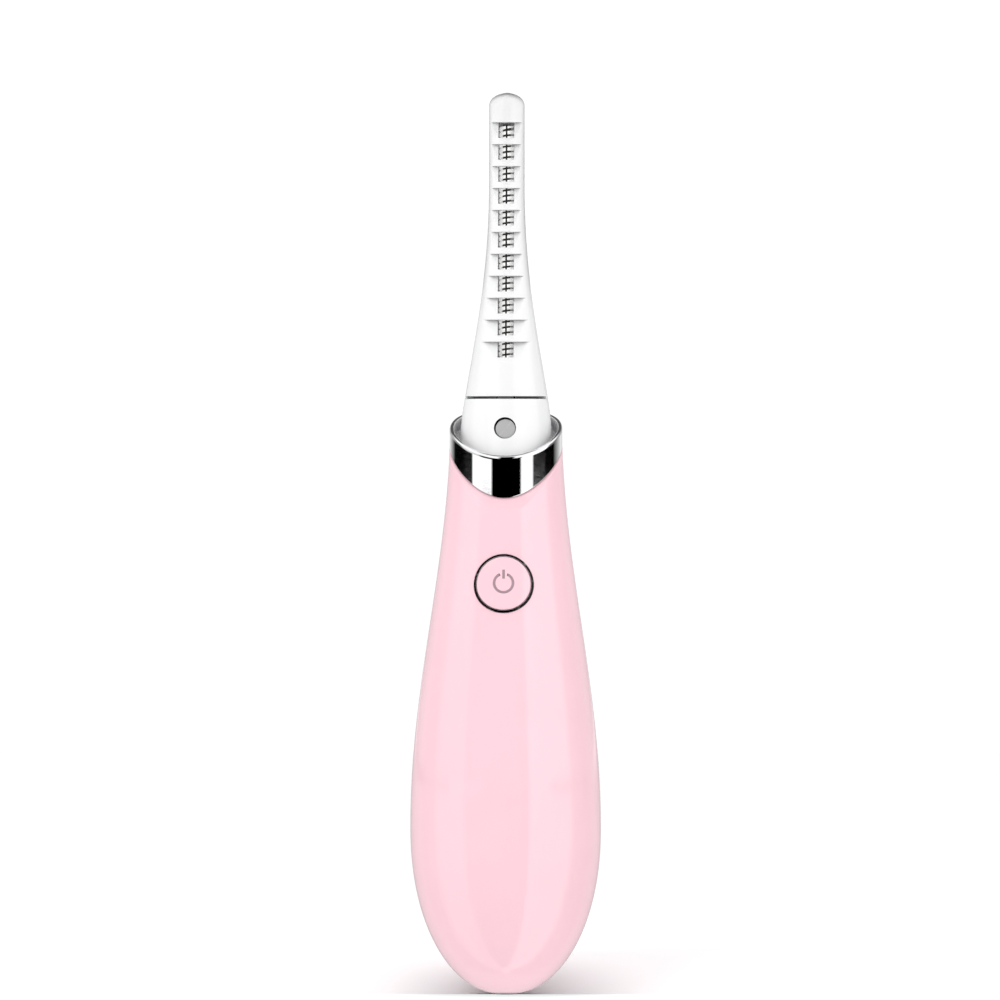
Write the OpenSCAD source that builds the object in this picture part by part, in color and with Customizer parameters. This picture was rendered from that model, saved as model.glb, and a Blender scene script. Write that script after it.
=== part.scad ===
// Heated eyelash curler: a teardrop handle with a power button, a chromed
// collar and a slim fixed head whose front comb shows the heating coil.
// Millimetres, +Z up along the handle. The button and the comb face -Y.
// The origin is on the collar's axis, at the level of the handle's butt.

/* [Handle] */
// Largest radius of the handle
belly_r = 14.3; // [12:0.1:16]
// Height of the largest radius above the butt
belly_z = 25; // [20:0.5:30]
// Radius of the handle where it meets the collar
neck_r = 8.4; // [8.4:0.1:9]
// Fullness of the butt, 2 being an ellipse
butt_power = 2.1; // [1.9:0.05:2.6]
// How far the middle of the handle leans to the front
bulge = 2.2; // [0:0.1:3]
// Wall of the two shells
shell_wall = 1.6; // [1.2:0.1:2]
// Gap between the two shells
seam_gap = 0.08; // [0.04:0.02:0.2]

/* [Collar] */
// Outer radius of the collar
collar_r = 8.45; // [8.4:0.05:9]
// Wall of the collar's visible band
collar_wall = 0.7; // [0.5:0.05:0.75]
// Height of the band's lower edge on the axis
collar_z = 82.3; // [81.5:0.1:82.8]

/* [Head] */
// Height of the tip above the butt
tip_z = 135.3; // [130:0.1:140]
// Half-width of the head at the collar
head_base_w = 6.9; // [6.4:0.05:7.1]
// Half-width of the comb near its tip
head_tip_w = 2.65; // [2.4:0.05:3]
// Lean of the comb's front face away from the user
comb_lean = 6.84; // [4:0.02:9]
// Number of windows in the comb
comb_windows = 11; // [6:1:11]
// Distance from one window of the comb to the next
comb_pitch = 3.3; // [3:0.05:3.4]
// Height of the seam between the comb and the head's base
comb_seam_z = 89.4; // [88:0.1:91]

/* [Heater] */
// Outer radius of the heating coil
coil_r = 1.15; // [1:0.05:1.4]
// Radius of the rod that the coil is wound on
core_r = 0.6; // [0.4:0.05:0.8]

/* [Button] */
// Height of the button's centre
button_z = 61.8; // [60:0.1:64]
// Outer radius of the ring round the button
bezel_r = 4.5; // [4:0.05:4.8]
// How far the button travels when pressed
button_travel = 0.4; // [0.2:0.05:0.5]
// How far the button stands proud of the handle
button_proud = 0.4; // [0.2:0.05:0.8]

/* [Battery] */
// Diameter of the cell
cell_d = 13.8; // [10:0.1:13.8]
// Length of the cell without its positive cap
cell_len = 42.4; // [30:0.1:43]

/* [Hidden] */

pink = [0.98, 0.84, 0.87];
white = [0.97, 0.97, 0.97];
chrome = [0.8, 0.8, 0.82];
copper = [0.85, 0.52, 0.3];
nickel = [0.72, 0.71, 0.68];
board_green = [0.1, 0.42, 0.25];
wire_red = [0.8, 0.1, 0.1];

big = 200;              // larger than the whole object
fit = 0.05;             // radial clearance of a running fit
slack = 0.1;            // gap between pieces that are only laid together
round_fn = 96;          // true circles carry over, so this only sets the preview
arc_fn = 22;            // steps round half of the handle
head_fn = 36;           // points round a lofted section of the head

// Handle outline
taper_len = 62;         // belly to neck
lean_len = 78;          // butt to where the handle is straight again
flat_z = 0.12;          // height whose radius the flat of the butt takes
butt_rings = 10;
taper_rings = 18;
slant_from = 60;        // where the shells' rings begin to follow the collar's edge

// Collar outline: both edges are where a level cylinder cuts the band, so they
// dip at the front and flatten out towards the back
edge_y = 13.6;
edge_r = 27;
edge_z = collar_z - sqrt(pow(edge_r, 2) - pow(edge_y, 2));
rim_y = 19.1;
rim_r = 48.2;
rim_z = collar_z + 3 - sqrt(pow(rim_r, 2) - pow(rim_y, 2));
collar_bore_r = collar_r - collar_wall;
collar_floor = 0.8;
sleeve_r = 6.7;
sleeve_bore_r = 5.6;
sleeve_z = 70;
stem_r = sleeve_bore_r - slack;
stem_bore_r = 4.2;
stem_z = 68.4;          // the head's stem ends here, below its clip
clip_z = 69;
clip_h = 0.6;

// Head outline
head_z = 84;            // where the head starts to narrow
head_taper = 38;        // length over which it narrows
head_wall = 1;
comb_wall = 1.5;        // from the comb's face to the heater's channel
comb_split = 3.6;       // from the comb's face to the side parting line
base_gap = 0.3;         // height of the groove between the comb and the base
flare_z = 99;           // below this the front flares out to the collar
flare_len = 19;
flare = 2.04;
crown_w = head_tip_w + 0.02;
crown_lean = 5;         // fall of the tip's top towards the front
crown_rise = 0.6;       // how far the crown's back edge stands over tip_z
comb_rail = 0.3;        // rail left at each side of the comb's recesses
channel_top = tip_z - 4;
comb_top = tip_z - 4.35;
comb_foot = comb_top - comb_pitch * comb_windows + 0.6;
tongue_w = 2.4;
tongue_t = 0.9;
heater_set = 3.15;      // coil axis behind the comb's face
heater_foot = comb_foot - 1.2;
coil_foot = 0.8;        // bare length of the rod below the winding

// Indicator
lens_z = 85.05;
lens_r = 1.5;
lens_lean = 15;

// Button
cap_r = bezel_r - 0.4 - fit;
cap_depth = 3.4;
flange_r = cap_r + 0.85;
switch_side = 4.5;
switch_h = 2;
plunger_r = 1.1;
board_face = -5.2;      // board's front face behind the handle's surface
board_t = 1;
board_w = 11;
board_low = -17;
board_high = 6.3;
symbol_r = 1.58;
symbol_line = 0.34;

// Inside the shells
rib_z = 71.4;
rib_h = 1.2;
hook_zs = [16, 36, 56];
hook_reach = 2.2;
board_holes = [[-4, 4.4], [4, 4.4], [0, -15]];

// Battery and charging socket
cell_y = 0.5;
cell_z = 11.7;
wrap_t = 0.1;
socket_w = 8.94;
socket_t = 3.26;
socket_z = 1.6;
socket_len = 7.3;

function clamp(v, lo, hi) = min(max(v, lo), hi);
function ease(t) = (1 - cos(180 * clamp(t, 0, 1))) / 2;

// Radius of the handle at height z, or of a surface that lies inset inside it
function handle_r(z, inset = 0) =
    z < belly_z
        ? (belly_r - inset)
            * pow(1 - pow((belly_z - z) / (belly_z - inset), butt_power), 1 / butt_power)
        : belly_r - (belly_r - neck_r) * ease((z - belly_z) / taper_len) - inset;

// Centre of the handle's round section at height z
function handle_y(z) = -bulge * sin(180 * clamp(z / lean_len, 0, 1));

// Heights of the rings: close together round the butt, then evenly up to the collar
function handle_heights(inset) = concat(
    [
        for (i = [0 : butt_rings - 1])
            inset + flat_z + (belly_z - inset - flat_z) * (1 - cos(90 * i / butt_rings))
    ],
    [for (i = [0 : taper_rings]) belly_z + (collar_z - belly_z) * i / taper_rings]
);

// Height of the shells' top edge at depth y, just under the collar
function edge_height(y) = edge_z + sqrt(max(pow(edge_r - 0.05, 2) - pow(y - edge_y, 2), 0));

// A point of the shell at angle a. Towards the top the rings slant more and
// more, until the last one follows the collar's lower edge. The y that the
// slant needs is found by trying again from the last height.
function shell_point(z, inset, a, tries = 4, at = undef) =
    let (
        now = is_undef(at) ? z : at,
        r = handle_r(now, inset),
        y = handle_y(now) + r * sin(a),
        slanted = z + (edge_height(y) - collar_z) * pow(clamp((z - slant_from) / (collar_z - slant_from), 0, 1), 2)
    )
    tries == 0 ? [r * cos(a), y, now] : shell_point(z, inset, a, tries - 1, slanted);

// Half of a shell ring, from the seam on one side to the seam on the other.
// side is -1 for the front half and 1 for the rear half.
function shell_arc(z, inset, side) =
    let (
        r = handle_r(z, inset),
        lean = asin(clamp((side * seam_gap / 2 - handle_y(z)) / r, -1, 1)),
        from = side > 0 ? lean : 180 - lean,
        sweep = side > 0 ? 180 - 2 * lean : 180 + 2 * lean
    )
    [for (j = [0 : arc_fn]) shell_point(z, inset, from + sweep * j / arc_fn)];

function signed_pow(v, p) = sign(v) * pow(abs(v), p);

// A rounded-square ring, from y0 at the front to y1 at the back
function oval_ring(w, y0, y1, z, power) = [
    for (i = [0 : head_fn - 1])
        let (a = 360 * i / head_fn)
        [
            w * signed_pow(cos(a), 2 / power),
            (y0 + y1) / 2 + (y1 - y0) / 2 * signed_pow(sin(a), 2 / power),
            z
        ]
];

// Head outline at height z
function head_w(z) =
    head_base_w - (head_base_w - head_tip_w) * ease(pow(clamp((z - head_z) / head_taper, 0, 1), 0.7));
function face_y(z) = 1.5 - tan(comb_lean) * (tip_z - 2.3 - z);
function head_front(z) = face_y(z) - flare * pow(max(flare_z - z, 0) / flare_len, 2);
function head_back(z) = 8.3 - pow(z - tip_z + 27.3, 2) / 580;
function head_power(z) = 2.1 + 0.5 * clamp((z - head_z) / 16, 0, 1);
function head_ring(z, inset, face_inset) =
    oval_ring(head_w(z) - inset, head_front(z) + face_inset, head_back(z) - inset, z, head_power(z));

// Closed solid through a stack of rings that all have the same number of points
module loft(rings) {
    n = len(rings[0]);
    m = len(rings);
    sides = [
        for (i = [0 : m - 2], j = [0 : n - 1])
            [i * n + j, (i + 1) * n + j, (i + 1) * n + (j + 1) % n, i * n + (j + 1) % n]
    ];
    bottom = [for (j = [0 : n - 1]) j];
    top = [for (j = [0 : n - 1]) m * n - 1 - j];
    polyhedron([for (ring = rings) each ring], concat(sides, [bottom, top]));
}

function unit(v) = v / norm(v);

// Round tube through a list of points, such as a wire that never runs along aim
module tube(path, d, sides = 6, aim = [0.1, 1, 0.02]) {
    last = len(path) - 1;
    loft([
        for (i = [0 : last])
            let (
                along = unit(path[min(i + 1, last)] - path[max(i - 1, 0)]),
                side = unit(cross(along, aim)),
                other = cross(along, side)
            )
            [
                for (k = [0 : sides - 1])
                    path[i] + d / 2 * (cos(360 * k / sides) * side + sin(360 * k / sides) * other)
            ]
    ]);
}

module above(z) {
    translate([-big / 2, -big / 2, z])
        cube(big);
}

module below(z) {
    translate([-big / 2, -big / 2, z - big])
        cube(big);
}

// The level cylinder whose top is the collar's lower edge, raised by lift
module under_edge(lift) {
    translate([-big / 2, edge_y, edge_z])
        rotate([0, 90, 0])
            cylinder(r = edge_r + lift, h = big, $fn = 2 * round_fn);
}

module front_of(y) {
    translate([-big / 2, y - big, -big / 2])
        cube([big, big, 2 * big]);
}

module behind(y) {
    translate([-big / 2, y, -big / 2])
        cube([big, big, 2 * big]);
}

module ring_solid(r, bore, z, h) {
    translate([0, 0, z])
        difference() {
            cylinder(r = r, h = h, $fn = round_fn);
            translate([0, 0, -1])
                cylinder(r = bore, h = h + 2, $fn = round_fn);
        }
}

// A box centred in x and y that starts at z = 0
module block(w, d, h) {
    translate([-w / 2, -d / 2, 0])
        cube([w, d, h]);
}

// Flat plate with round ends
module stadium(w, t, h) {
    for (side = [-1, 1])
        translate([side * (w - t) / 2, 0, 0])
            cylinder(d = t, h = h, $fn = round_fn);
    block(w - t, t, h);
}

// Handle

// Slope of the handle's front where the button sits
button_lean = atan(
    (handle_y(button_z + 1) - handle_r(button_z + 1) - handle_y(button_z - 1) + handle_r(button_z - 1)) / 2
);

// The button's frame: origin on the handle's surface, z straight out, y up along it
module at_button() {
    translate([0, handle_y(button_z) - handle_r(button_z), button_z])
        rotate([90 - button_lean, 0, 0])
            children();
}

// Half of the handle's wall as one closed skin: outside, inside, the two seam
// edges, the butt and the top edge under the collar
module half_shell(side) {
    outside = [for (z = handle_heights(0)) shell_arc(z, 0, side)];
    inside = [for (z = handle_heights(shell_wall)) shell_arc(z, shell_wall, side)];
    n = arc_fn + 1;
    m = len(outside);
    inner = m * n;
    last = (m - 1) * n;
    skin = [
        for (i = [0 : m - 2], j = [0 : n - 2])
            [i * n + j, (i + 1) * n + j, (i + 1) * n + j + 1, i * n + j + 1]
    ];
    lining = [for (f = skin) [inner + f[0], inner + f[3], inner + f[2], inner + f[1]]];
    start_edge = [for (i = [0 : m - 2]) [i * n, inner + i * n, inner + (i + 1) * n, (i + 1) * n]];
    end_edge = [
        for (i = [0 : m - 2])
            let (low = i * n + n - 1, high = low + n)
            [low, high, inner + high, inner + low]
    ];
    rim = [
        for (j = [0 : n - 2])
            [last + j, inner + last + j, inner + last + j + 1, last + j + 1]
    ];
    butt = [[for (j = [0 : n - 1]) j], [for (j = [0 : n - 1]) inner + n - 1 - j], [0, n - 1, inner + n - 1, inner]];
    polyhedron(
        concat([for (ring = outside) each ring], [for (ring = inside) each ring]),
        concat(skin, lining, start_edge, end_edge, rim, butt)
    );
}

// The charging socket's opening in the butt
module socket_opening() {
    translate([0, 0, -1])
        stadium(socket_w + 0.3, socket_t + 0.3, 8);
}

// Rib inside the neck that grips the collar's sleeve
module neck_rib() {
    difference() {
        translate([0, handle_y(rib_z), rib_z])
            cylinder(r = handle_r(rib_z) - shell_wall / 2, h = rib_h, $fn = round_fn);
        translate([0, 0, rib_z - 1])
            cylinder(r = sleeve_r + slack, h = rib_h + 2, $fn = round_fn);
    }
}

// Hooks on the front shell that catch inside the rear one
module snap_hooks() {
    for (z = hook_zs, side = [-1, 1]) {
        inside_r = handle_r(z, shell_wall);
        tip_x = sqrt(pow(inside_r, 2) - pow(hook_reach - handle_y(z), 2)) - 0.3;
        mirror([side > 0 ? 0 : 1, 0, 0]) {
            translate([tip_x - 1, -3, z - 2])
                cube([1, 3 + hook_reach, 4]);
            translate([tip_x - 1, -3, z - 2])
                cube([inside_r + 0.4 - tip_x + 1, 2.6, 4]);
        }
    }
}

// Posts on the front shell that the board screws into
module board_bosses() {
    at_button()
        for (p = board_holes)
            translate([p[0], p[1], board_face + 0.02])
                difference() {
                    cylinder(r = 1.35, h = -board_face - 1.5, $fn = round_fn);
                    translate([0, 0, -1])
                        cylinder(r = 0.55, h = 4, $fn = round_fn);
                }
}

module handle_front_shell() {
    color(pink)
        difference() {
            union() {
                half_shell(-1);
                intersection() {
                    neck_rib();
                    front_of(-seam_gap / 2);
                }
                snap_hooks();
                board_bosses();
            }
            socket_opening();
            at_button()
                translate([0, 0, -4])
                    cylinder(r = bezel_r, h = 8, $fn = round_fn);
            at_button()
                translate([0, 0, -4.3])
                    cylinder(r = flange_r + 0.3, h = 1.6, $fn = round_fn);
        }
}

module handle_rear_shell() {
    color(pink)
        difference() {
            union() {
                half_shell(1);
                intersection() {
                    neck_rib();
                    behind(seam_gap / 2);
                }
            }
            socket_opening();
        }
}

// Collar

module collar() {
    color(chrome)
        difference() {
            union() {
                difference() {
                    intersection() {
                        translate([0, 0, 60])
                            cylinder(r = collar_r, h = 35, $fn = round_fn);
                        translate([-big / 2, rim_y, rim_z])
                            rotate([0, 90, 0])
                                cylinder(r = rim_r, h = big, $fn = 2 * round_fn);
                    }
                    under_edge(0);
                }
                intersection() {
                    translate([0, 0, sleeve_z])
                        cylinder(r = sleeve_r, h = 20, $fn = round_fn);
                    under_edge(collar_floor / 2);
                }
            }
            difference() {
                translate([0, 0, 60])
                    cylinder(r = collar_bore_r, h = 40, $fn = round_fn);
                under_edge(collar_floor);
            }
            translate([0, 0, 50])
                cylinder(r = sleeve_bore_r, h = 50, $fn = round_fn);
        }
}

module head_retaining_clip() {
    color(nickel)
        difference() {
            ring_solid(sleeve_r - 0.3, stem_r - 0.5, clip_z + 0.1, clip_h - 0.2);
            translate([-2, -big, clip_z - 1])
                cube([4, big, 3]);
        }
}

// Head

comb_zs = [for (i = [0 : comb_windows - 1]) comb_top - i * comb_pitch];

// Front outline of the tip: straight sides, round corners and a domed top
module crown() {
    corner_r = 1.4;
    dome_r = 3.4;
    rotate([90 + crown_lean, 0, 0])
        intersection() {
            union() {
                for (side = [-1, 1])
                    translate([side * (crown_w - corner_r), -corner_r - 0.5, 0])
                        cylinder(r = corner_r, h = 24, $fn = round_fn);
                translate([-crown_w + corner_r, -6, 0])
                    cube([2 * (crown_w - corner_r), 8, 24]);
                translate([-crown_w, -6, 0])
                    cube([2 * crown_w, 6 - corner_r - 0.5, 24]);
            }
            translate([0, -dome_r, -1])
                cylinder(r = dome_r, h = 26, $fn = round_fn);
        }
}

// The head's outside, closed at the tip by its crown
module head_solid() {
    difference() {
        intersection() {
            loft([for (z = [74 : 2.6 : tip_z + 3]) head_ring(z, 0, 0)]);
            union() {
                translate([0, 11, tip_z + crown_rise])
                    crown();
                below(tip_z - 3.4);
            }
        }
        under_edge(collar_floor + slack);
    }
}

// The hollow that holds the heater and its leads
module head_channel() {
    difference() {
        loft([for (z = [each [78 : 2.6 : channel_top], channel_top]) head_ring(z, head_wall, comb_wall)]);
        under_edge(collar_floor + 1.3);
    }
}

// Everything in front of the comb's side parting line and above its seam
module comb_side(gap) {
    intersection() {
        translate([0, face_y(comb_seam_z) + comb_split - gap, comb_seam_z])
            rotate([-comb_lean, 0, 0])
                translate([-big / 2, -big, -big / 2])
                    cube(big);
        above(comb_seam_z + base_gap * sign(gap));
    }
}

// One shingle of the comb: a recess that deepens up to the lip above it,
// with a window to the coil in its upper part
module comb_notch(z) {
    w = head_w(z - comb_pitch / 2) - comb_rail;
    window_w = min(coil_r + fit, w);
    translate([0, face_y(z), z])
        rotate([-comb_lean, 0, 0]) {
            rotate([90, 0, 90])
                translate([0, 0, -w])
                    linear_extrude(height = 2 * w)
                        polygon([[1.15, 0], [-1, 0], [-1, 0.35 - comb_pitch], [-0.1, 0.35 - comb_pitch]]);
            translate([-window_w, -1, -2.3])
                cube([2 * window_w, 3.4, 2.1]);
        }
}

// Pockets in the sides of the head, between its ribs
module side_pockets() {
    for (z = comb_zs) {
        low = z - comb_pitch + 0.65;
        y0 = face_y(z) + 5.8 - 1.3 * (z - comb_foot) / (comb_top - comb_foot);
        y1 = head_back(z) - 1.5;
        for (side = [-1, 1])
            if (y1 - y0 > 0.4)
                translate([side > 0 ? head_w(z) - 0.75 : -head_w(z) - 5 + 0.75, y0, low])
                    cube([5, y1 - y0, comb_pitch - 0.65]);
    }
}

module at_lens() {
    translate([0, head_front(lens_z), lens_z])
        rotate([90 - lens_lean, 0, 0])
            children();
}

module head_rear_housing() {
    color(white)
        difference() {
            union() {
                head_solid();
                intersection() {
                    translate([0, 0, stem_z])
                        cylinder(r = stem_r, h = 16, $fn = round_fn);
                    under_edge(collar_floor + 0.7);
                }
            }
            head_channel();
            comb_side(0);
            side_pockets();
            translate([0, 0, 60])
                cylinder(r = stem_bore_r, h = 25, $fn = round_fn);
            ring_solid(stem_r + 1, stem_r - 0.6, clip_z, clip_h);
            at_lens() {
                translate([0, 0, -3])
                    cylinder(r = lens_r + 0.06, h = 6, $fn = round_fn);
                translate([0, 0, -0.3])
                    cylinder(r1 = lens_r + 0.06, r2 = lens_r + 0.46, h = 0.4, $fn = round_fn);
            }
        }
}

// Tongue under the comb's foot that reaches down behind the base's front wall
module comb_tongue() {
    translate([0, head_front(comb_seam_z) + comb_wall + 0.15 + tongue_t / 2, comb_seam_z - 1.6])
        block(tongue_w, tongue_t, 4);
}

module comb_front_grille() {
    color(white)
        difference() {
            union() {
                intersection() {
                    head_solid();
                    comb_side(seam_gap / 2);
                }
                comb_tongue();
            }
            difference() {
                head_channel();
                comb_tongue();
            }
            for (z = comb_zs)
                comb_notch(z);
        }
}

// Heater

// The heater's frame: z runs up the coil's axis from the foot of the comb
module at_heater() {
    translate([0, face_y(heater_foot) + heater_set, heater_foot])
        rotate([-comb_lean, 0, 0])
            children();
}

heater_len = channel_top - heater_foot - 0.4;

// Rod with a square foot that plugs into the leads
module heater_core() {
    color([0.3, 0.28, 0.26])
        at_heater() {
            cylinder(r = core_r, h = heater_len, $fn = round_fn);
            translate([0, 0, -2.5])
                block(2.4, 1.2, 2.6);
        }
}

// Envelope of the winding round the rod
module heater_coil() {
    color([0.25, 0.22, 0.2])
        at_heater()
            ring_solid(coil_r, core_r + 0.02, coil_foot, heater_len - coil_foot - 0.4);
}

module thermistor() {
    color([0.2, 0.2, 0.22])
        at_heater()
            translate([0, 1.4, -2.4])
                cylinder(r = 0.6, h = 2.6, $fn = round_fn);
}

foot_y = face_y(heater_foot) + heater_set;

module heater_leads() {
    color(wire_red)
        for (side = [-1, 1])
            tube([
                [side * 0.8, foot_y - 0.4, heater_foot - 3],
                [side * 1, foot_y - 0.5, heater_foot - 5],
                [side * 1.6, -0.1, 84],
                [side * 1.8, 0.4, 76],
                [side * 1.9, -1, 70.4],
                [side * 2.1, -2.5, 68.5],
                [side * 2.3, -3.8, 67.5],
                [side * 2.6, -4.9, 67.3],
            ], 0.9);
}

// Indicator

module indicator_lens() {
    color([0.72, 0.72, 0.72])
        at_lens()
            translate([0, 0, -1.8])
                cylinder(r = lens_r, h = 1.55, $fn = round_fn);
}

module indicator_led() {
    color([0.95, 0.95, 0.8])
        at_lens()
            translate([0, 0, -2.7])
                block(1.6, 2.4, 0.8);
}

module led_leads() {
    color([0.2, 0.2, 0.2])
        for (side = [-1, 1])
            tube([
                [side * 0.4, head_front(lens_z) + 2.95, lens_z - 1.2],
                [side * 0.5, -1.9, 82],
                [side * 0.5, -1.6, 76],
                [side * 0.5, -2.2, 70],
                [side * 0.6, -3.6, 67.9],
                [side * 0.6, -4.9, 67.1],
            ], 0.6);
}

// Button

// Everything under a curved cover that follows the handle, lifted by h
module under_cover(h) {
    cover_r = handle_r(button_z) + h;
    translate([0, 0, h - cover_r])
        rotate([90, 0, 0])
            cylinder(r = cover_r, h = 40, center = true, $fn = round_fn);
}

module button_bezel() {
    color(chrome)
        at_button()
            intersection() {
                ring_solid(bezel_r - 0.01, cap_r + fit, -2.75, 6);
                under_cover(0.22);
            }
}

module power_shape(grow) {
    line = symbol_line + 2 * grow;
    difference() {
        ring_solid(symbol_r + grow, symbol_r - symbol_line - grow, -1, 3);
        translate([-0.62 + grow, 0, -2])
            cube([1.24 - 2 * grow, 4, 5]);
    }
    translate([-line / 2, 0.68 - grow, -1])
        cube([line, 1.32 + 2 * grow, 3]);
}

module power_button() {
    color(pink)
        at_button()
            difference() {
                union() {
                    intersection() {
                        translate([0, 0, -cap_depth])
                            cylinder(r = cap_r, h = 6, $fn = round_fn);
                        under_cover(button_proud);
                    }
                    translate([0, 0, -cap_depth])
                        cylinder(r = flange_r, h = 0.5, $fn = round_fn);
                }
                translate([0, 0, -cap_depth - 1])
                    ring_solid(cap_r - 0.6, 0.9, 0, cap_depth - 0.2);
                translate([0, 0, -cap_depth - 1])
                    cylinder(r = plunger_r + 0.4, h = 2, $fn = round_fn);
                difference() {
                    power_shape(0.02);
                    under_cover(button_proud - 0.25);
                }
            }
}

module power_symbol() {
    color([0.72, 0.6, 0.66])
        at_button()
            intersection() {
                power_shape(0);
                difference() {
                    under_cover(button_proud + 0.01);
                    under_cover(button_proud - 0.23);
                }
            }
}

module switch_plunger() {
    color([0.15, 0.15, 0.15])
        at_button()
            translate([0, 0, board_face + 0.6])
                cylinder(r = plunger_r, h = 2.2, $fn = round_fn);
}

module tact_switch() {
    color([0.75, 0.75, 0.75])
        at_button()
            translate([0, 0, board_face])
                difference() {
                    block(switch_side, switch_side, switch_h);
                    translate([0, 0, 0.1])
                        cylinder(r = plunger_r + fit, h = 3, $fn = round_fn);
                }
}

// Electronics on the board behind the button

module main_board() {
    color(board_green)
        at_button()
            difference() {
                translate([-board_w / 2, board_low, board_face - board_t])
                    cube([board_w, board_high - board_low, board_t]);
                for (p = board_holes)
                    translate([p[0], p[1], board_face - board_t - 1])
                        cylinder(r = 0.85, h = 4, $fn = round_fn);
            }
}

module controller_chip() {
    color([0.12, 0.12, 0.13])
        at_button()
            translate([-1.8, -6.4, board_face])
                block(4, 4, 0.9);
}

module boost_inductor() {
    color([0.3, 0.3, 0.32])
        at_button()
            translate([2.9, -11, board_face])
                difference() {
                    block(4, 4, 1.8);
                    translate([0, 0, 1.5])
                        ring_solid(1.6, 1.3, 0, 1);
                }
}

module board_components() {
    color([0.78, 0.7, 0.55])
        at_button()
            for (i = [0 : 5])
                translate([i < 3 ? 3.8 : -4.6, -4.2 - 2 * (i % 3), board_face])
                    block(1.2, 0.7, 0.5);
}

module board_screws() {
    color(nickel)
        at_button()
            for (p = board_holes)
                translate([p[0], p[1], board_face - board_t - 0.8])
                    difference() {
                        union() {
                            cylinder(r = 1.3, h = 0.78, $fn = round_fn);
                            cylinder(r = 0.5, h = 4.2, $fn = round_fn);
                        }
                        translate([0, 0, -0.1])
                            block(0.35, 1.6, 0.45);
                        translate([0, 0, -0.1])
                            block(1.6, 0.35, 0.45);
                    }
}

// Battery

module battery_cell() {
    color([0.75, 0.75, 0.78])
        translate([0, cell_y, cell_z]) {
            cylinder(d = cell_d, h = cell_len, $fn = round_fn);
            cylinder(r = 2.3, h = cell_len + 0.8, $fn = round_fn);
        }
}

module battery_wrap() {
    color([0.25, 0.45, 0.75])
        translate([0, cell_y, 0])
            ring_solid(cell_d / 2 + 0.02 + wrap_t, cell_d / 2 + 0.02, cell_z + 0.2, cell_len - 0.4);
}

module battery_tab_top() {
    color(nickel)
        translate([-1.5, cell_y - 6.2, cell_z + cell_len + 0.82])
            cube([3, 7.6, 0.15]);
}

module battery_tab_bottom() {
    color(nickel)
        translate([-1.5, cell_y - 6.2, cell_z - 0.17])
            cube([3, 7.6, 0.15]);
}

module battery_leads() {
    tab_top = cell_z + cell_len + 1.35;
    front = cell_y - cell_d / 2;
    color(wire_red) {
        tube([
            [1, cell_y - 4, tab_top],
            [1.2, -5.6, tab_top + 0.6],
            [2.2, -5.4, tab_top + 3],
            [2.6, -4.7, 62.9],
        ], 0.7);
        tube([
            [-1, cell_y - 5, cell_z - 0.6],
            [-1, front - 0.8, cell_z - 0.2],
            [-1, front - 1.1, cell_z + 3],
            [-1, front - 1.6, 30],
            [-1.6, front - 2, 40],
            [-2.6, -9.6, 42.4],
        ], 0.7);
    }
}

module battery_cradle() {
    bore = cell_d / 2 + wrap_t + 0.12;
    color([0.85, 0.85, 0.83])
        intersection() {
            translate([0, cell_y, 0])
                union() {
                    ring_solid(bore + 0.6, bore, cell_z, cell_len);
                    translate([0, 0, cell_z - 1.1])
                        cylinder(r = bore + 0.6, h = 0.9, $fn = round_fn);
                }
            behind(cell_y + 1.5);
        }
}

// Charging socket

module charging_socket() {
    color([0.8, 0.8, 0.8])
        translate([0, 0, socket_z])
            difference() {
                stadium(socket_w, socket_t, socket_len);
                translate([0, 0, -1])
                    stadium(socket_w - 0.6, socket_t - 0.6, socket_len + 0.6);
            }
}

module socket_tongue() {
    color([0.1, 0.1, 0.1])
        translate([0, 0, socket_z]) {
            translate([0, 0, 1])
                block(6.6, 0.7, 5.5);
            translate([0, 0, 5.6])
                stadium(socket_w - 0.7, socket_t - 0.7, 1.2);
        }
}

module charging_board() {
    color(board_green)
        translate([0, socket_t / 2 + 0.45, 4])
            block(9.6, 0.8, 6.4);
}

module charging_leads() {
    color(wire_red)
        for (side = [-1, 1])
            tube([
                [side * 3.9, 1.3, 9.8],
                [side * 5, -0.4, 10.4],
                [side * 5.3, -5.2, 11],
                [side * 5.4, -7.1, 12.9],
                [side * 4.4, -8.9, 20],
                [side * 3.6, -9.3, 32],
                [side * 3.8, -9.7, 42.7],
            ], 0.7);
}

head_rear_housing();
comb_front_grille();
heater_core();
heater_coil();
thermistor();
heater_leads();
indicator_lens();
indicator_led();
led_leads();
collar();
head_retaining_clip();
handle_front_shell();
handle_rear_shell();
button_bezel();
power_button();
power_symbol();
switch_plunger();
tact_switch();
main_board();
controller_chip();
boost_inductor();
board_components();
board_screws();
battery_cell();
battery_wrap();
battery_tab_top();
battery_tab_bottom();
battery_leads();
battery_cradle();
charging_socket();
socket_tongue();
charging_board();
charging_leads();
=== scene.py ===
"""The heated eyelash curler's looks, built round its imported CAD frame.

Lengths are millimetres until a mesh is made, as in the part's own source,
whose outlines are repeated here. The stage, lights and camera are in metres.
+Z runs up the handle, and the button and the comb face -Y.
"""

import math

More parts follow.
